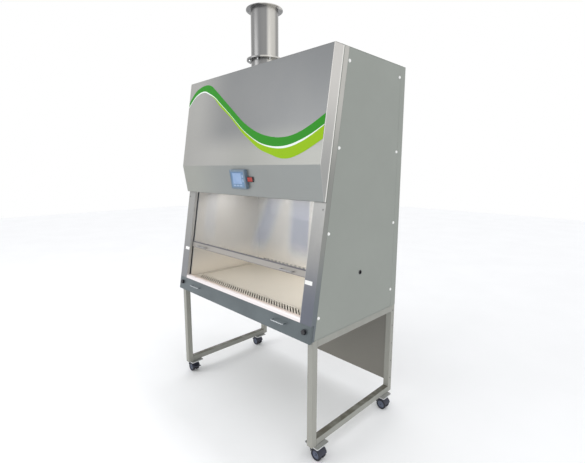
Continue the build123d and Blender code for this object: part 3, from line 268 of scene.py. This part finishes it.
def paintLook(name, colour, roughness=0.5, data=paint):
    look = Look(name)
    clouding = look.noise(data["cloudScale"], detail=5.0).ramp(*data["cloudRange"])
    speckle = look.noise(data["speckleScale"], detail=2.0)
    base = look.mix(clouding, shade(colour, 1 - data["cloud"]), shade(colour, 1 + data["cloud"]))
    dusty = (1.0 - look.z.ramp(*data["dustReach"])) * speckle * data["dustShare"]
    spread = data["roughnessSpread"]
    return look.finish({
        "Base Color": look.mix(dusty, base, data["dust"]),
        "Roughness": look.noise(data["roughnessScale"]) * spread + (roughness - spread / 2),
        "Normal": look.bump(speckle, data["grain"], data["grainDepth"]),
    })


# Brushed sheet: streaks along X, broad mottling, small smears.
steel = {
    "mottle": 0.14,
    "mottleScale": 3.1,
    "mottleRange": (0.25, 0.75),
    "streak": 0.10,
    "streakShade": 0.55,
    "smearScale": 24.0,
    "smearRange": (0.45, 0.8),
    "metallic": 0.92,
    "lineRoughness": 0.12,
    "smearRoughness": 0.06,
    "evenOut": 0.08,  # what the lines and smears add on average
}


def steelLook(name, colour, roughness=0.3, **changes):
    data = {**steel, **changes}
    look = Look(name)
    lines = look.noise(brush["scale"], brush["along"], detail=6.0, roughness=0.7)
    broad = look.noise(data["mottleScale"], detail=6.0, roughness=0.6).ramp(*data["mottleRange"])
    smear = look.noise(data["smearScale"], detail=3.0).ramp(*data["smearRange"])
    base = look.mix(broad, shade(colour, 1 - data["mottle"]), shade(colour, 1 + data["mottle"]))
    rough = lines * data["lineRoughness"] + smear * data["smearRoughness"]
    return look.finish({
        "Base Color": look.mix(lines * (2 * data["streak"]), base, shade(colour, data["streakShade"])),
        "Metallic": data["metallic"],
        "Roughness": rough + (roughness - data["evenOut"]),
        "Normal": look.bump(lines, **brushBump),
    })


# Moulded plastic: fine grain, paler where it is worn.
plastic = {
    "grainScale": 300.0,
    "grain": 0.1,
    "grainDepth": 0.0003,
    "wearScale": 30.0,
    "wearRange": (0.55, 0.8),
    "wearShade": 1.35,
    "roughnessScale": 18.0,
    "roughnessSpread": 0.15,
    "evenOut": 0.07,
}


def plasticLook(name, colour, roughness=0.4, data=plastic):
    look = Look(name)
    speckle = look.noise(data["grainScale"], detail=2.0)
    wear = look.noise(data["wearScale"]).ramp(*data["wearRange"])
    rough = look.noise(data["roughnessScale"]) * data["roughnessSpread"]
    return look.finish({
        "Base Color": look.mix(wear, colour, shade(colour, data["wearShade"])),
        "Roughness": rough + (roughness - data["evenOut"]),
        "Normal": look.bump(speckle, data["grain"], data["grainDepth"]),
    })


# Wheel with a dark tread and a paler hub, told apart by the distance from its axle.
wheel = {
    "rim": (0.66, 0.74),
    "hub": ((0.085, 0.10, 0.15), (0.14, 0.16, 0.21)),
    "tread": ((0.012, 0.013, 0.02), (0.035, 0.036, 0.042)),
    "dustScale": 60.0,
    "dustRange": (0.4, 0.8),
    "roughness": 0.35,
    "treadRoughness": 0.3,
}


def wheelLook(name, node, data=wheel):
    low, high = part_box(node)
    centre = [(a + b) / 2 for a, b in zip(low, high)]
    radius = (high[2] - low[2]) / 2
    look = Look(name)
    out = ((look.x - centre[0]) ** 2.0 + (look.z - centre[2]) ** 2.0) ** 0.5
    rim = (out / radius).ramp(*data["rim"])
    dust = look.noise(data["dustScale"]).ramp(*data["dustRange"])
    hub = look.mix(dust, *data["hub"])
    tread = look.mix(dust, *data["tread"])
    return look.finish({
        "Base Color": look.mix(rim, hub, tread),
        "Roughness": rim * data["treadRoughness"] + data["roughness"],
    })


# Stand rails: the stand's paint, with painted shade on the top of the lower rails, uneven in noise
# patches.
railTopShade = {
    "top": (0.1375, 0.1397),
    "above": 0.150,
    "tone": (0.120, 0.112, 0.088),
    "patchScale": 14.0,
    "patchRange": (0.3, 0.62),
    "cloud": 0.05,
    "roughness": 0.4,
}


def railPaintLook(name, colour, data):
    look = Look(name)
    clouding = look.noise(paint["cloudScale"], detail=5.0).ramp(*paint["cloudRange"])
    patches = look.noise(data["patchScale"], detail=5.0).ramp(*data["patchRange"])
    # Painted shade: the tone darkens the top of the lower rails, more in some noise patches than others.
    top = look.z.ramp(*data["top"]) * (1.0 - look.z.above(data["above"]))
    base = look.mix(clouding, shade(colour, 1 - data["cloud"]), shade(colour, 1 + data["cloud"]))
    base = look.mix(top * (patches * 0.5 + 0.5), base, data["tone"])
    return look.finish({"Base Color": base, "Roughness": patches * 0.2 + data["roughness"]})


# Cover: painted shade darkens it towards the right and towards its top on the right, painted light makes
# its lower facet lighter and its end plates brighter towards their top, and the end plates get a painted
# highlight strip and a dark seam near their rear edge.
cover = {
    "face": (0.355, 0.352, 0.338),
    "faceRight": (0.270, 0.274, 0.256),
    "faceX": (-0.32, 0.12),
    "dark": (0.166, 0.173, 0.178),
    "top": (0.175, 0.184, 0.192),
    "fade": (1.95, 2.29),
    "shadeX": (-0.62, -0.12),
    "shadeZ": (1.74, 1.93),
    "bend": joints["cover_hinge"]["pos_m"][2] - 0.619,
    "bendWidth": 0.004,
    "lowerLeft": (0.370, 0.380, 0.345),
    "lowerRight": (0.290, 0.308, 0.302),
    "endX": 0.6965,
    "endFade": (1.60, 2.15),
    "endLow": (0.34, 0.34, 0.33),
    "endHigh": (0.62, 0.60, 0.57),
    "hem": (-0.012, -0.005),
    "hemTone": (0.78, 0.77, 0.73),
    "seamTone": (0.17, 0.18, 0.16),
    "cloudScale": 2.2,
    "cloudRange": (0.2, 0.8),
    "metallic": 0.65,
    "endMetallic": 0.45,
    "roughness": 0.32,
}


def coverLook(name, data):
    look = Look(name)
    lines = look.noise(brush["scale"], brush["along"], detail=6.0, roughness=0.7)
    broad = look.noise(data["cloudScale"], detail=5.0).ramp(*data["cloudRange"])
    # Painted shade: the face darkens towards the right, and towards its top on the right side.
    across = look.x.ramp(*data["shadeX"])
    face = look.mix(look.x.ramp(*data["faceX"]), data["face"], data["faceRight"])
    high = look.mix(look.z.ramp(*data["fade"]), data["dark"], data["top"])
    base = look.mix(across * look.z.ramp(*data["shadeZ"]), face, high)
    # Painted light: the lower facet is lighter, more so on the left.
    lower = look.mix(across, data["lowerLeft"], data["lowerRight"])
    bend, width = data["bend"], data["bendWidth"]
    base = look.mix(look.z.ramp(bend - width, bend + width), lower, base)
    base = look.mix(broad * 0.3, base, shade(data["face"], 0.7))
    base = look.mix(lines * 0.2, base, shade(data["face"], 0.6))
    depth = depthOf(look)
    # Painted light: the end plates brighten towards their top, with a painted highlight strip near their
    # rear edge and a dark seam behind it.
    endTone = look.mix(look.z.ramp(*data["endFade"]), data["endLow"], data["endHigh"])
    endTone = look.mix(lines * 0.25, endTone, shade(data["face"], 0.8))
    endTone = look.mix(depth.within(*data["hem"]), endTone, data["hemTone"])
    endTone = look.mix(depth.above(data["hem"][1]), endTone, data["seamTone"])
    ends = abs(look.x).above(data["endX"])
    return look.finish({
        "Base Color": look.mix(ends, base, endTone),
        "Metallic": data["metallic"] - ends * (data["metallic"] - data["endMetallic"]),
        "Roughness": lines * 0.12 + data["roughness"],
        "Normal": look.bump(lines, **brushBump),
    })


# Corner posts, with upright brushing: warm and light above as painted light, blue-grey near the apron as
# painted shade, the left post lighter as painted light, and their outer edges bright towards the top as
# painted light.
post = {
    "high": (0.330, 0.327, 0.312),
    "low": (0.148, 0.158, 0.190),
    "left": (0.36, 0.36, 0.345),
    "fade": (0.90, 1.28),
    "edgeX": 0.6990,
    "edgeLow": (0.150, 0.172, 0.185),
    "edgeMiddle": (0.27, 0.275, 0.255),
    "edgeHigh": (0.52, 0.51, 0.475),
    "edgeFade": (1.55, 2.05),
    "metallic": 0.6,
    "roughness": 0.32,
}


def postLook(name, data):
    look = Look(name)
    lines = look.noise(brush["scale"], brush["upright"], detail=6.0)
    broad = look.noise(6.0, (3, 3, 1))
    # Painted light above and painted shade near the apron.
    fade = look.z.ramp(*data["fade"])
    base = look.mix(fade, data["low"], data["high"])
    base = look.mix(broad * 0.35, base, shade(data["low"], 0.8))
    # Painted light: the left post is taken half-way to a lighter tone.
    base = look.mix(1.0 - look.x.above(0.0), base, look.mix(0.5, base, data["left"]))
    # Painted light and shade on the outer edges, darker low down and bright towards the top.
    edge = look.mix(fade, data["edgeLow"], data["edgeMiddle"])
    edge = look.mix(look.z.ramp(*data["edgeFade"]), edge, data["edgeHigh"])
    base = look.mix(abs(look.x).above(data["edgeX"]), base, edge)
    return look.finish({
        "Base Color": look.mix(lines * 0.2, base, shade(data["low"], 0.6)),
        "Metallic": broad * 0.1 + data["metallic"],
        "Roughness": lines * 0.12 + data["roughness"],
        "Normal": look.bump(lines, **brushBump),
    })


# Rolled duct sheet: upright bands over fine ones, a painted highlight as a bright streak on the side
# facing mostly +X, and painted shade on the side facing -Y.
ductLow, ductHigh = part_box("exhaust_duct")
duct = {
    "bands": (22, 22, 0.15),
    "fine": (160, 160, 0.8),
    "dark": (0.255, 0.255, 0.255),
    "light": (0.295, 0.290, 0.280),
    "away": (0.13, 0.13, 0.135),
    "awayRange": (0.70, 1.0),
    "sheen": (0.78, 0.755, 0.70),
    "sheenRange": (0.90, 0.99),
    "facing": (0.985, -0.174),
    "centre": ((ductLow[0] + ductHigh[0]) / 2, (ductLow[1] + ductHigh[1]) / 2),
    "radius": 0.1015,
    "metallic": 0.7,
    "roughness": 0.22,
}


def ductLook(name, data):
    look = Look(name)
    bands = look.noise(1.0, data["bands"], detail=2.0).ramp(0.36, 0.64)
    fine = look.noise(1.0, data["fine"], detail=5.0)
    x, y = look.x - data["centre"][0], look.y - data["centre"][1]
    across = (x * data["facing"][0] + y * data["facing"][1]) / data["radius"]
    # Painted shade on the side facing -Y.
    away = (y / -data["radius"]).ramp(*data["awayRange"])
    base = look.mix(bands, data["dark"], data["light"])
    base = look.mix(away * 0.5, base, data["away"])
    # Painted highlight: a sheen along the side that points along the facing direction, mostly +X.
    base = look.mix(across.ramp(*data["sheenRange"]) * 0.8, base, data["sheen"])
    return look.finish({
        "Base Color": look.mix(fine * 0.4, base, shade(data["dark"], 0.8)),
        "Metallic": bands * 0.15 + data["metallic"],
        "Roughness": fine * 0.15 + data["roughness"],
    })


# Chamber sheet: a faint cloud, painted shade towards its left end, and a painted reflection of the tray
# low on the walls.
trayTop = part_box("work_tray")[1][2]
liner = {
    "colour": tones["liner"],
    "metallic": 0.55,
    "roughness": 0.3,
    "endShade": 0.3,
    "endReach": (-0.66, -0.2),
    "lowShare": 0.8,
    "lowReach": (trayTop, trayTop + 0.24),
    "lowTone": (0.80, 0.745, 0.655),
}
tray = {
    "colour": tones["tray"],
    "metallic": 0.4,
    "roughness": 0.3,
    "endShade": 0.1,
    "endReach": (-0.66, 0.05),
}


def sheetLook(name, data):
    colour = data["colour"]
    look = Look(name)
    cloud = look.noise(2.0, detail=5.0).ramp(0.25, 0.75)
    lines = look.noise(brush["scale"], brush["along"], detail=5.0)
    base = look.mix(cloud, shade(colour, 0.96), shade(colour, 1.04))
    # Painted shade towards the left end.
    base = look.mix((1.0 - look.x.ramp(*data["endReach"])) * data["endShade"], base, shade(colour, 0.4))
    # Painted reflection of the tray low on the walls.
    if "lowTone" in data:
        low = (1.0 - look.z.ramp(*data["lowReach"])) * data["lowShare"]
        base = look.mix(low, base, data["lowTone"])
    return look.finish({
        "Base Color": base,
        "Metallic": cloud * 0.05 + data["metallic"],
        "Roughness": lines * 0.1 + data["roughness"],
    })


# Sill: a painted highlight along its front edge, and behind it a painted reflection in the tray's tone.
sill = {
    "front": (0.80, 0.75, 0.745),
    "rear": (0.60, 0.50, 0.455),
    "change": (0.45, 0.65),
    "metallic": 0.35,
    "roughness": 0.28,
}


def sillLook(name, data):
    low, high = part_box("sill")
    look = Look(name)
    lines = look.noise(brush["scale"], brush["along"], detail=5.0)
    # The front edge gets a painted highlight, the rear a painted reflection in the tray's tone.
    back = ((look.y - low[1]) / (high[1] - low[1])).ramp(*data["change"])
    return look.finish({
        "Base Color": look.mix(back, data["front"], data["rear"]),
        "Metallic": back * 0.1 + data["metallic"],
        "Roughness": lines * 0.1 + data["roughness"],
    })


# Guide strips: black seal along the glass slot, steel beside it.
guide = {
    "slot": (0.0195, 0.0305),
    "steel": (0.40, 0.40, 0.39),
    "seal": tones["black"],
    "metallic": 0.6,
    "roughness": 0.35,
}


def guideLook(name, data):
    look = Look(name)
    lines = look.noise(12.0, brush["upright"], detail=5.0)
    slot = depthOf(look).within(*data["slot"])
    base = look.mix(lines, shade(data["steel"], 0.85), shade(data["steel"], 1.1))
    return look.finish({
        "Base Color": look.mix(slot, base, data["seal"]),
        "Metallic": (1.0 - slot) * data["metallic"],
        "Roughness": lines * 0.1 + data["roughness"],
    })


# Sash rails: dull steel with a dark seam along each edge, brighter pull handles.
rail = {
    "height": 0.0415,
    "seam": 0.007,
    "steel": (0.35, 0.33, 0.305),
    "dark": (0.10, 0.10, 0.12),
    "handle": (0.34, 0.34, 0.35),
    "handleDepth": 0.016,
    "metallic": 0.5,
    "roughness": 0.28,
}


def railLook(name, data):
    look = Look(name)
    lines = look.noise(brush["scale"], brush["along"], detail=5.0)
    rise = look.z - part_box("sash_rails")[0][2]
    height, seam = data["height"], data["seam"]
    lower = 1.0 - rise.ramp(0.0, seam)
    upper = rise.band(height - seam, height - 0.001, height + 0.002, height + 0.004)
    handle = 1.0 - depthOf(look).above(data["handleDepth"])
    base = look.mix(lines, shade(data["steel"], 0.9), shade(data["steel"], 1.08))
    base = look.mix(lower + upper, base, data["dark"])
    return look.finish({
        "Base Color": look.mix(handle, base, data["handle"]),
        "Metallic": handle * 0.4 + data["metallic"],
        "Roughness": lines * 0.12 + data["roughness"],
    })


# Clear sheet with faint upright sheens, which are painted reflections, and a greenish body that shows
# more towards the right as a painted reflection. Each sheen is a band across X.
glass = {
    "left": (-0.52, -0.44, -0.38, -0.30),
    "middle": (-0.36, -0.27, -0.22, -0.13),
    "middleLean": -0.35,
    "right": (0.52, 0.60, 0.70, 0.715),
    "rightLean": 0.1,
    "sheenZ": (1.10, 1.26),
    "body": (0.52, 0.55, 0.56),
    "sheen": (0.24, 0.28, 0.38),
    "roughness": 0.03,
    "alpha": 0.05,
    "sheenAlpha": 0.26,
    "hazeAlpha": 0.05,
    "rightAlpha": 0.06,
}


def sashLook(name, data):
    look = Look(name)
    left = look.x.band(*data["left"])
    middle = (look.x + look.z * data["middleLean"]).band(*data["middle"])
    right = (look.x + look.z * data["rightLean"]).band(*data["right"])
    sheen = (left * 0.45 + middle * 0.8 + right) * look.z.ramp(*data["sheenZ"])
    haze = look.noise(5.0, detail=5.0).ramp(0.4, 0.8)
    # Painted reflection: the glass grows more opaque towards the right.
    rightward = look.x.ramp(-0.2, 0.66)
    alpha = sheen * data["sheenAlpha"] + haze * data["hazeAlpha"] + rightward * data["rightAlpha"]
    return look.finish({
        "Base Color": look.mix(sheen, data["body"], data["sheen"]),
        "Roughness": haze * 0.05 + data["roughness"],
        "Alpha": alpha + data["alpha"],
        "Specular IOR Level": 0.5,
    })


# Lit screen with blank fields, given as shares of its width and height.
display = {
    "page": ((0.13, 0.80), (0.22, 0.90)),
    "bar": ((0.13, 0.80), (0.90, 0.95)),
    "keys": (((0.13, 0.32), (0.37, 0.56), (0.61, 0.80)), (0.07, 0.16)),
    "side": ((0.86, 0.95), ((0.62, 0.80), (0.34, 0.52))),
    "ground": ((0.085, 0.15, 0.25), (0.11, 0.19, 0.30)),
    "pageTone": ((0.17, 0.26, 0.42), (0.21, 0.30, 0.46)),
    "barTone": (0.08, 0.14, 0.24),
    "keyTone": (0.22, 0.30, 0.42),
    "glow": 0.25,
    "roughness": 0.14,
}


def displayLook(name, data):
    low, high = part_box("screen_glass")
    look = Look(name)
    u = (look.x - low[0]) / (high[0] - low[0])
    v = (look.z - low[2]) / (high[2] - low[2])
    page, bar = [u.within(*data[part][0]) * v.within(*data[part][1]) for part in ("page", "bar")]
    first, second, third = [u.within(*reach) for reach in data["keys"][0]]
    keys = v.within(*data["keys"][1]) * (first + second + third)
    upper, lower = [v.within(*reach) for reach in data["side"][1]]
    side = u.within(*data["side"][0]) * (upper + lower)
    cloud = look.noise(14.0).ramp(0.3, 0.7)
    shown = look.mix(page, look.mix(cloud, *data["ground"]), look.mix(cloud, *data["pageTone"]))
    shown = look.mix(bar, shown, data["barTone"])
    shown = look.mix(keys + side, shown, data["keyTone"])
    return look.finish({
        "Base Color": shown,
        "Roughness": cloud * 0.05 + data["roughness"],
        "Emission Color": shown,
        "Emission Strength": data["glow"],
    })


# Folded filter paper with a fibrous face.
paper = {
    "tones": ((0.78, 0.77, 0.72), (0.88, 0.87, 0.83)),
    "fibreScale": 180.0,
    "grain": 0.3,
    "grainDepth": 0.001,
    "roughness": 0.8,
}


def pleatLook(name, data):
    look = Look(name)
    fibre = look.noise(data["fibreScale"], detail=6.0)
    return look.finish({
        "Base Color": look.mix(fibre, *data["tones"]),
        "Roughness": fibre * 0.1 + data["roughness"],
        "Normal": look.bump(fibre, data["grain"], data["grainDepth"]),
    })


# Tubes dimmed over their last stretch.
lamp = {
    "lit": (0.93, 0.95, 1.0),
    "end": (0.4, 0.38, 0.36),
    "endLength": 0.06,
    "strength": 2.5,
    "roughness": 0.3,
}


def lampLook(name, data):
    look = Look(name)
    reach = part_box("lamp_tubes")[1][0]
    ends = abs(look.x).ramp(reach - data["endLength"], reach)
    lit = look.mix(ends, data["lit"], data["end"])
    return look.finish({
        "Base Color": lit,
        "Roughness": ends * 0.2 + data["roughness"],
        "Emission Color": lit,
        "Emission Strength": data["strength"],
    })


casing = paintLook("casingPaint", tones["casing"])
dress(casing, "side_panel_left", "side_panel_right", "rear_shell", "top_panel", "base_pan")
dress(paintLook("standPaint", tones["stand"], 0.45), "stand_legs")
dress(railPaintLook("railPaint", tones["stand"], railTopShade), "stand_rails")
dress(paintLook("standPanelPaint", tones["standPanel"], 0.6), "stand_back_panel")
dress(postLook("postSteel", post), "front_posts")
dress(coverLook("coverSteel", cover), "front_cover")
dress(guideLook("guideSteel", guide), "sash_guides")
dress(railLook("railSteel", rail), "sash_rails")
dress(steelLook("apronSteel", tones["apron"], 0.4, metallic=0.6), "apron_panel")
dress(sillLook("sillSteel", sill), "sill")
dress(sheetLook("linerSteel", liner), "chamber_liner", "rear_baffle", "diffuser")
dress(paintLook("panSteel", tones["pan"]), "drain_pan")
dress(sheetLook("traySteel", tray), "work_tray", "front_grille")
zinc = steelLook("zincSheet", tones["zinc"], 0.42, mottle=0.2, metallic=0.85)
dress(zinc, "plenum_bulkhead", "supply_plenum", "blower_housing", "exhaust_plenum", "lamp_fittings")
dress(zinc, "pulley_brackets", "sash_shaft", "blower_impeller")
dress(ductLook("ductSteel", duct), "exhaust_collar", "exhaust_duct")
bright = steelLook("brightSteel", tones["bright"], 0.2, mottle=0.06, streak=0.04, metallic=1.0)
dress(bright, "hinge_brackets", "duct_bolts", "caster_plates")
dress(steelLook("wireSteel", tones["wire"], 0.25, mottle=0.06, streak=0.04), "apron_handles")
dress(pleatLook("filterPaper", paper), "supply_filter", "exhaust_filter")
dress(sashLook("sashGlass", glass), "sash_glass")
dress(displayLook("displayGlass", display), "screen_glass")
dress(lampLook("lampGlass", lamp), "lamp_tubes")
dress(plasticLook("screenGrey", tones["screenGrey"], 0.35), "screen_housing")
black = plasticLook("blackPlastic", tones["black"])
dress(black, "switch_frame", "port_grommet", "apron_knob_left", "apron_knob_right", "sash_belts")
dress(plasticLook("redPlastic", tones["red"], 0.25), "switch_rocker")
dress(plasticLook("whitePlastic", tones["white"], 0.3), "screw_caps")
dress(plasticLook("idlerNylon", tones["nylon"], 0.5), "belt_idlers")
dress(paintLook("castIron", tones["iron"], 0.55), "counterweights", "blower_motor")
navy = plasticLook("casterPlastic", tones["navy"], 0.35)
for corner in ("front_left", "front_right", "rear_left", "rear_right"):
    wheels = f"caster_{corner}_wheels"
    dress(navy, f"caster_{corner}_housing")
    dress(wheelLook(f"wheel_{corner}", wheels), wheels)
dress(navy, "caster_front_left_brake", "caster_front_right_brake")

print("stage: stripe and small pieces")


def addMesh(name, points, faces, material):
    mesh = bpy.data.meshes.new(name)
    mesh.from_pydata(points, [], faces)
    mesh.update()
    piece = bpy.data.objects.new(name, mesh)
    bpy.context.scene.collection.objects.link(piece)
    mesh.materials.append(material)
    return piece


def addPiece(name, points, faces, material, body):
    piece = addMesh(name, points, faces, material)
    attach(piece, body)


# Two-tone wave across the cover's upper facet. Each station gives x, then the heights of the
# green band's upper and lower edges and of the lime band's upper and lower edges.
wave = {
    "stations": (
        (-0.694, 2.150, 2.118, 2.110, 2.109),
        (-0.620, 2.215, 2.178, 2.170, 2.169),
        (-0.555, 2.239, 2.203, 2.194, 2.193),
        (-0.490, 2.247, 2.206, 2.197, 2.196),
        (-0.420, 2.236, 2.180, 2.172, 2.170),
        (-0.350, 2.194, 2.146, 2.141, 2.134),
        (-0.280, 2.146, 2.099, 2.095, 2.079),
        (-0.140, 2.049, 2.007, 2.004, 1.991),
        (0.000, 1.953, 1.909, 1.906, 1.888),
        (0.100, 1.900, 1.853, 1.849, 1.826),
        (0.200, 1.862, 1.810, 1.804, 1.772),
        (0.300, 1.840, 1.788, 1.779, 1.740),
        (0.390, 1.833, 1.783, 1.771, 1.716),
        (0.470, 1.841, 1.793, 1.780, 1.716),
        (0.550, 1.865, 1.816, 1.804, 1.739),
        (0.620, 1.897, 1.844, 1.836, 1.770),
        (0.694, 1.937, 1.882, 1.878, 1.808),
    ),
    "green": (0.021, 0.235, 0.010),
    "white": (0.74, 0.80, 0.76),
    "lime": (0.255, 0.445, 0.000),
    "limeFrom": -0.42,
    "coverProud": 0.0803,
    "steps": 96,
    "thickness": 0.0004,
    "inkScale": 160.0,
    "inkShades": (0.92, 1.08),
    "roughness": 0.4,
    "specular": 0.12,
}


# Height of one edge at x, on a smooth curve through the stations.
def waveEdge(data, x, edge):
    rows = data["stations"]
    last = len(rows) - 1
    low = max(index for index in range(last) if index == 0 or rows[index][0] <= x)

    def steepness(index):
        before, after = rows[max(index - 1, 0)], rows[min(index + 1, last)]
        return (after[edge] - before[edge]) / (after[0] - before[0])

    span = rows[low + 1][0] - rows[low][0]
    t = (x - rows[low][0]) / span
    level = (1 - t) ** 2 * (1 + 2 * t) * rows[low][edge] + t * t * (3 - 2 * t) * rows[low + 1][edge]
    return level + span * t * (1 - t) * ((1 - t) * steepness(low) - t * steepness(low + 1))


def waveBand(name, colour, edges, data, first):
    count = data["steps"]
    points, faces = [], []
    for step in range(count + 1):
        x = first + (data["stations"][-1][0] - first) * step / count
        for proud in (data["coverProud"], data["coverProud"] + data["thickness"]):
            for edge in edges:
                z = waveEdge(data, x, edge)
                points.append((x, frontY(z, proud), z))
    for step in range(count):
        a, b = 4 * step, 4 * step + 4
        faces += [(a + 2, a + 3, b + 3, b + 2), (a, b, b + 1, a + 1)]
        faces += [(a, a + 2, b + 2, b), (a + 1, b + 1, b + 3, a + 3)]
    faces += [(0, 1, 3, 2), (4 * count, 4 * count + 2, 4 * count + 3, 4 * count + 1)]
    look = Look(name)
    ink = look.noise(data["inkScale"], detail=3.0)
    material = look.finish({
        "Base Color": look.mix(ink, *[shade(colour, factor) for factor in data["inkShades"]]),
        "Roughness": ink * 0.1 + data["roughness"],
        "Specular IOR Level": data["specular"],
    })
    addPiece(name, points, faces, material, "cover")


waveStart = wave["stations"][0][0]
waveBand("waveGreen", wave["green"], (1, 2), wave, waveStart)
waveBand("waveWhite", wave["white"], (2, 3), wave, waveStart)
waveBand("waveLime", wave["lime"], (3, 4), wave, wave["limeFrom"])

# Low round screw heads on the posts and down the legs.
postScrew = {"radius": 0.005, "height": 0.002, "sides": 24, "x": 0.682, "z": 1.445}
legScrew = {
    "radius": 0.0045,
    "height": 0.0015,
    "sides": 24,
    "inset": 0.02,
    "z": (0.20, 0.33, 0.46, 0.59, 0.70),
}


def screwHead(name, centre, normal, data, material):
    normal = Vector(normal).normalized()
    first = normal.orthogonal().normalized()
    second = normal.cross(first)
    sides, height = data["sides"], data["height"]
    rings = ((0, 1.0), (height * 0.6, 1.0), (height, 0.8))
    points = []
    for rise, spread in rings:
        for side in range(sides):
            angle = 2 * math.pi * side / sides
            out = (first * math.cos(angle) + second * math.sin(angle)) * data["radius"] * spread
            points.append(tuple(Vector(centre) + out + normal * rise))
    faces = []
    for ring in range(len(rings) - 1):
        for side in range(sides):
            a, b = ring * sides + side, ring * sides + (side + 1) % sides
            faces.append((a, b, b + sides, a + sides))
    faces.append(tuple(range((len(rings) - 1) * sides, len(rings) * sides)))
    faces.append(tuple(reversed(range(sides))))
    addPiece(name, points, faces, material, "casing")


outward = (0, -lift.z, lift.y)
screwSteel = steelLook("screwSteel", tones["screw"], 0.35)
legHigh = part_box("stand_legs")[1]
for side, label in ((1, "Right"), (-1, "Left")):
    z = postScrew["z"]
    screwHead(f"postScrew{label}", (side * postScrew["x"], frontY(z), z), outward, postScrew, screwSteel)
for index, z in enumerate(legScrew["z"]):
    for side, label in ((-1, "Left"), (1, "Right")):
        centre = (side * legHigh[0], legHigh[1] - legScrew["inset"], z)
        screwHead(f"legScrew{label}{index}", centre, (side, 0, 0), legScrew, screwSteel)

# Blank white markers that show the sash's working height on both posts.
marker = {"x": (0.616, 0.670), "z": (1.040, 1.062), "thickness": 0.0008}


def postMarker(name, side, data, material):
    left, right = sorted(side * x for x in data["x"])
    low, high = data["z"]
    points = []
    for proud in (0.0, data["thickness"]):
        for x, z in ((left, low), (right, low), (right, high), (left, high)):
            points.append((x, frontY(z, proud), z))
    faces = [(4, 5, 6, 7), (3, 2, 1, 0), (0, 1, 5, 4), (1, 2, 6, 5), (2, 3, 7, 6), (3, 0, 4, 7)]
    addPiece(name, points, faces, material, "casing")


markerWhite = plasticLook("markerWhite", tones["marker"], 0.5)
postMarker("markerLeft", -1, marker, markerWhite)
postMarker("markerRight", 1, marker, markerWhite)

print("stage: floor and lights")

ground = {"reach": 14.0, "pale": ((0.955, 0.955, 0.955), (0.975, 0.975, 0.975)), "roughness": 0.75}


def addFloor(data):
    look = Look("floorPale")
    cloud = look.noise(1.5).ramp(0.3, 0.7)
    material = look.finish({
        "Base Color": look.mix(cloud, *data["pale"]),
        "Roughness": cloud * 0.05 + data["roughness"],
    })
    reach = data["reach"]
    points = [(-reach, -reach, 0), (reach, -reach, 0), (reach, reach, 0), (-reach, reach, 0)]
    addMesh("floor", points, [(0, 1, 2, 3)], material)


# White wherever the camera, metal or glass looks past the floor, and a plain fill light.
surround = {
    "white": (1, 1, 1),
    "fill": (0.97, 0.98, 1),
    "fillStrength": 1.02,
    "whiteFor": ("Is Camera Ray", "Is Glossy Ray", "Is Transmission Ray"),
}


def whiteWorld(data):
    world = bpy.data.worlds.new("whiteWorld")
    bpy.context.scene.world = world
    world.use_nodes = True
    graph = Graph(world.node_tree)
    camera, glossy, through = [graph.node("ShaderNodeLightPath", {}, ray) for ray in data["whiteFor"]]
    white = graph.node("ShaderNodeBackground", {"Color": data["white"], "Strength": 1.0})
    fill = graph.node("ShaderNodeBackground", {"Color": data["fill"], "Strength": data["fillStrength"]})
    seen = camera.most(glossy).most(through)
    graph.end("ShaderNodeOutputWorld", graph.node("ShaderNodeMixShader", {0: seen, 1: fill, 2: white}))


# The two lights over the tray stand in for the tubes, and aren't seen themselves. They hang a
# little before the ceiling's middle and under it.
ceilingLow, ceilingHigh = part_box("diffuser")
middleY = (ceilingLow[1] + ceilingHigh[1]) / 2
lampY, lampZ = middleY - 0.12, ceilingLow[2] - 0.06
lights = {
    "keyLight": {"place": (-2.6, -4.6, 3.2), "aim": (0, 0, 1.4), "size": (3.2, 2.6), "power": 70},
    "sideLight": {"place": (4.2, -0.6, 2.8), "aim": (0.5, 0, 1.3), "size": (2.4, 2.4), "power": 14},
    "chamberLight": {
        "place": (0, lampY, lampZ),
        "aim": (0, middleY, 0.8),
        "size": (1.1, 0.2),
        "power": 5.5,
        "seen": False,
    },
    "chamberGlow": {
        "place": (0.50, lampY, lampZ),
        "aim": (0.56, middleY, 0.8),
        "size": (0.16, 0.16),
        "power": 1.6,
        "tint": (0.92, 0.95, 1),
        "seen": False,
    },
}


def addLight(name, data):
    lit = bpy.data.lights.new(name, "AREA")
    lit.shape = "RECTANGLE"
    lit.size, lit.size_y = data["size"]
    lit.energy = data["power"]
    lit.color = data.get("tint", (1, 1, 1))
    light = bpy.data.objects.new(name, lit)
    light.location = data["place"]
    aim = Vector(data["aim"]) - Vector(data["place"])
    light.rotation_euler = aim.to_track_quat("-Z", "Y").to_euler()
    light.visible_camera = light.visible_glossy = data.get("seen", True)
    bpy.context.scene.collection.objects.link(light)


addFloor(ground)
whiteWorld(surround)
for name, data in lights.items():
    addLight(name, data)

scene = bpy.context.scene
scene.view_settings.view_transform = "Standard"
scene.view_settings.look = "None"
scene.use_nodes = False
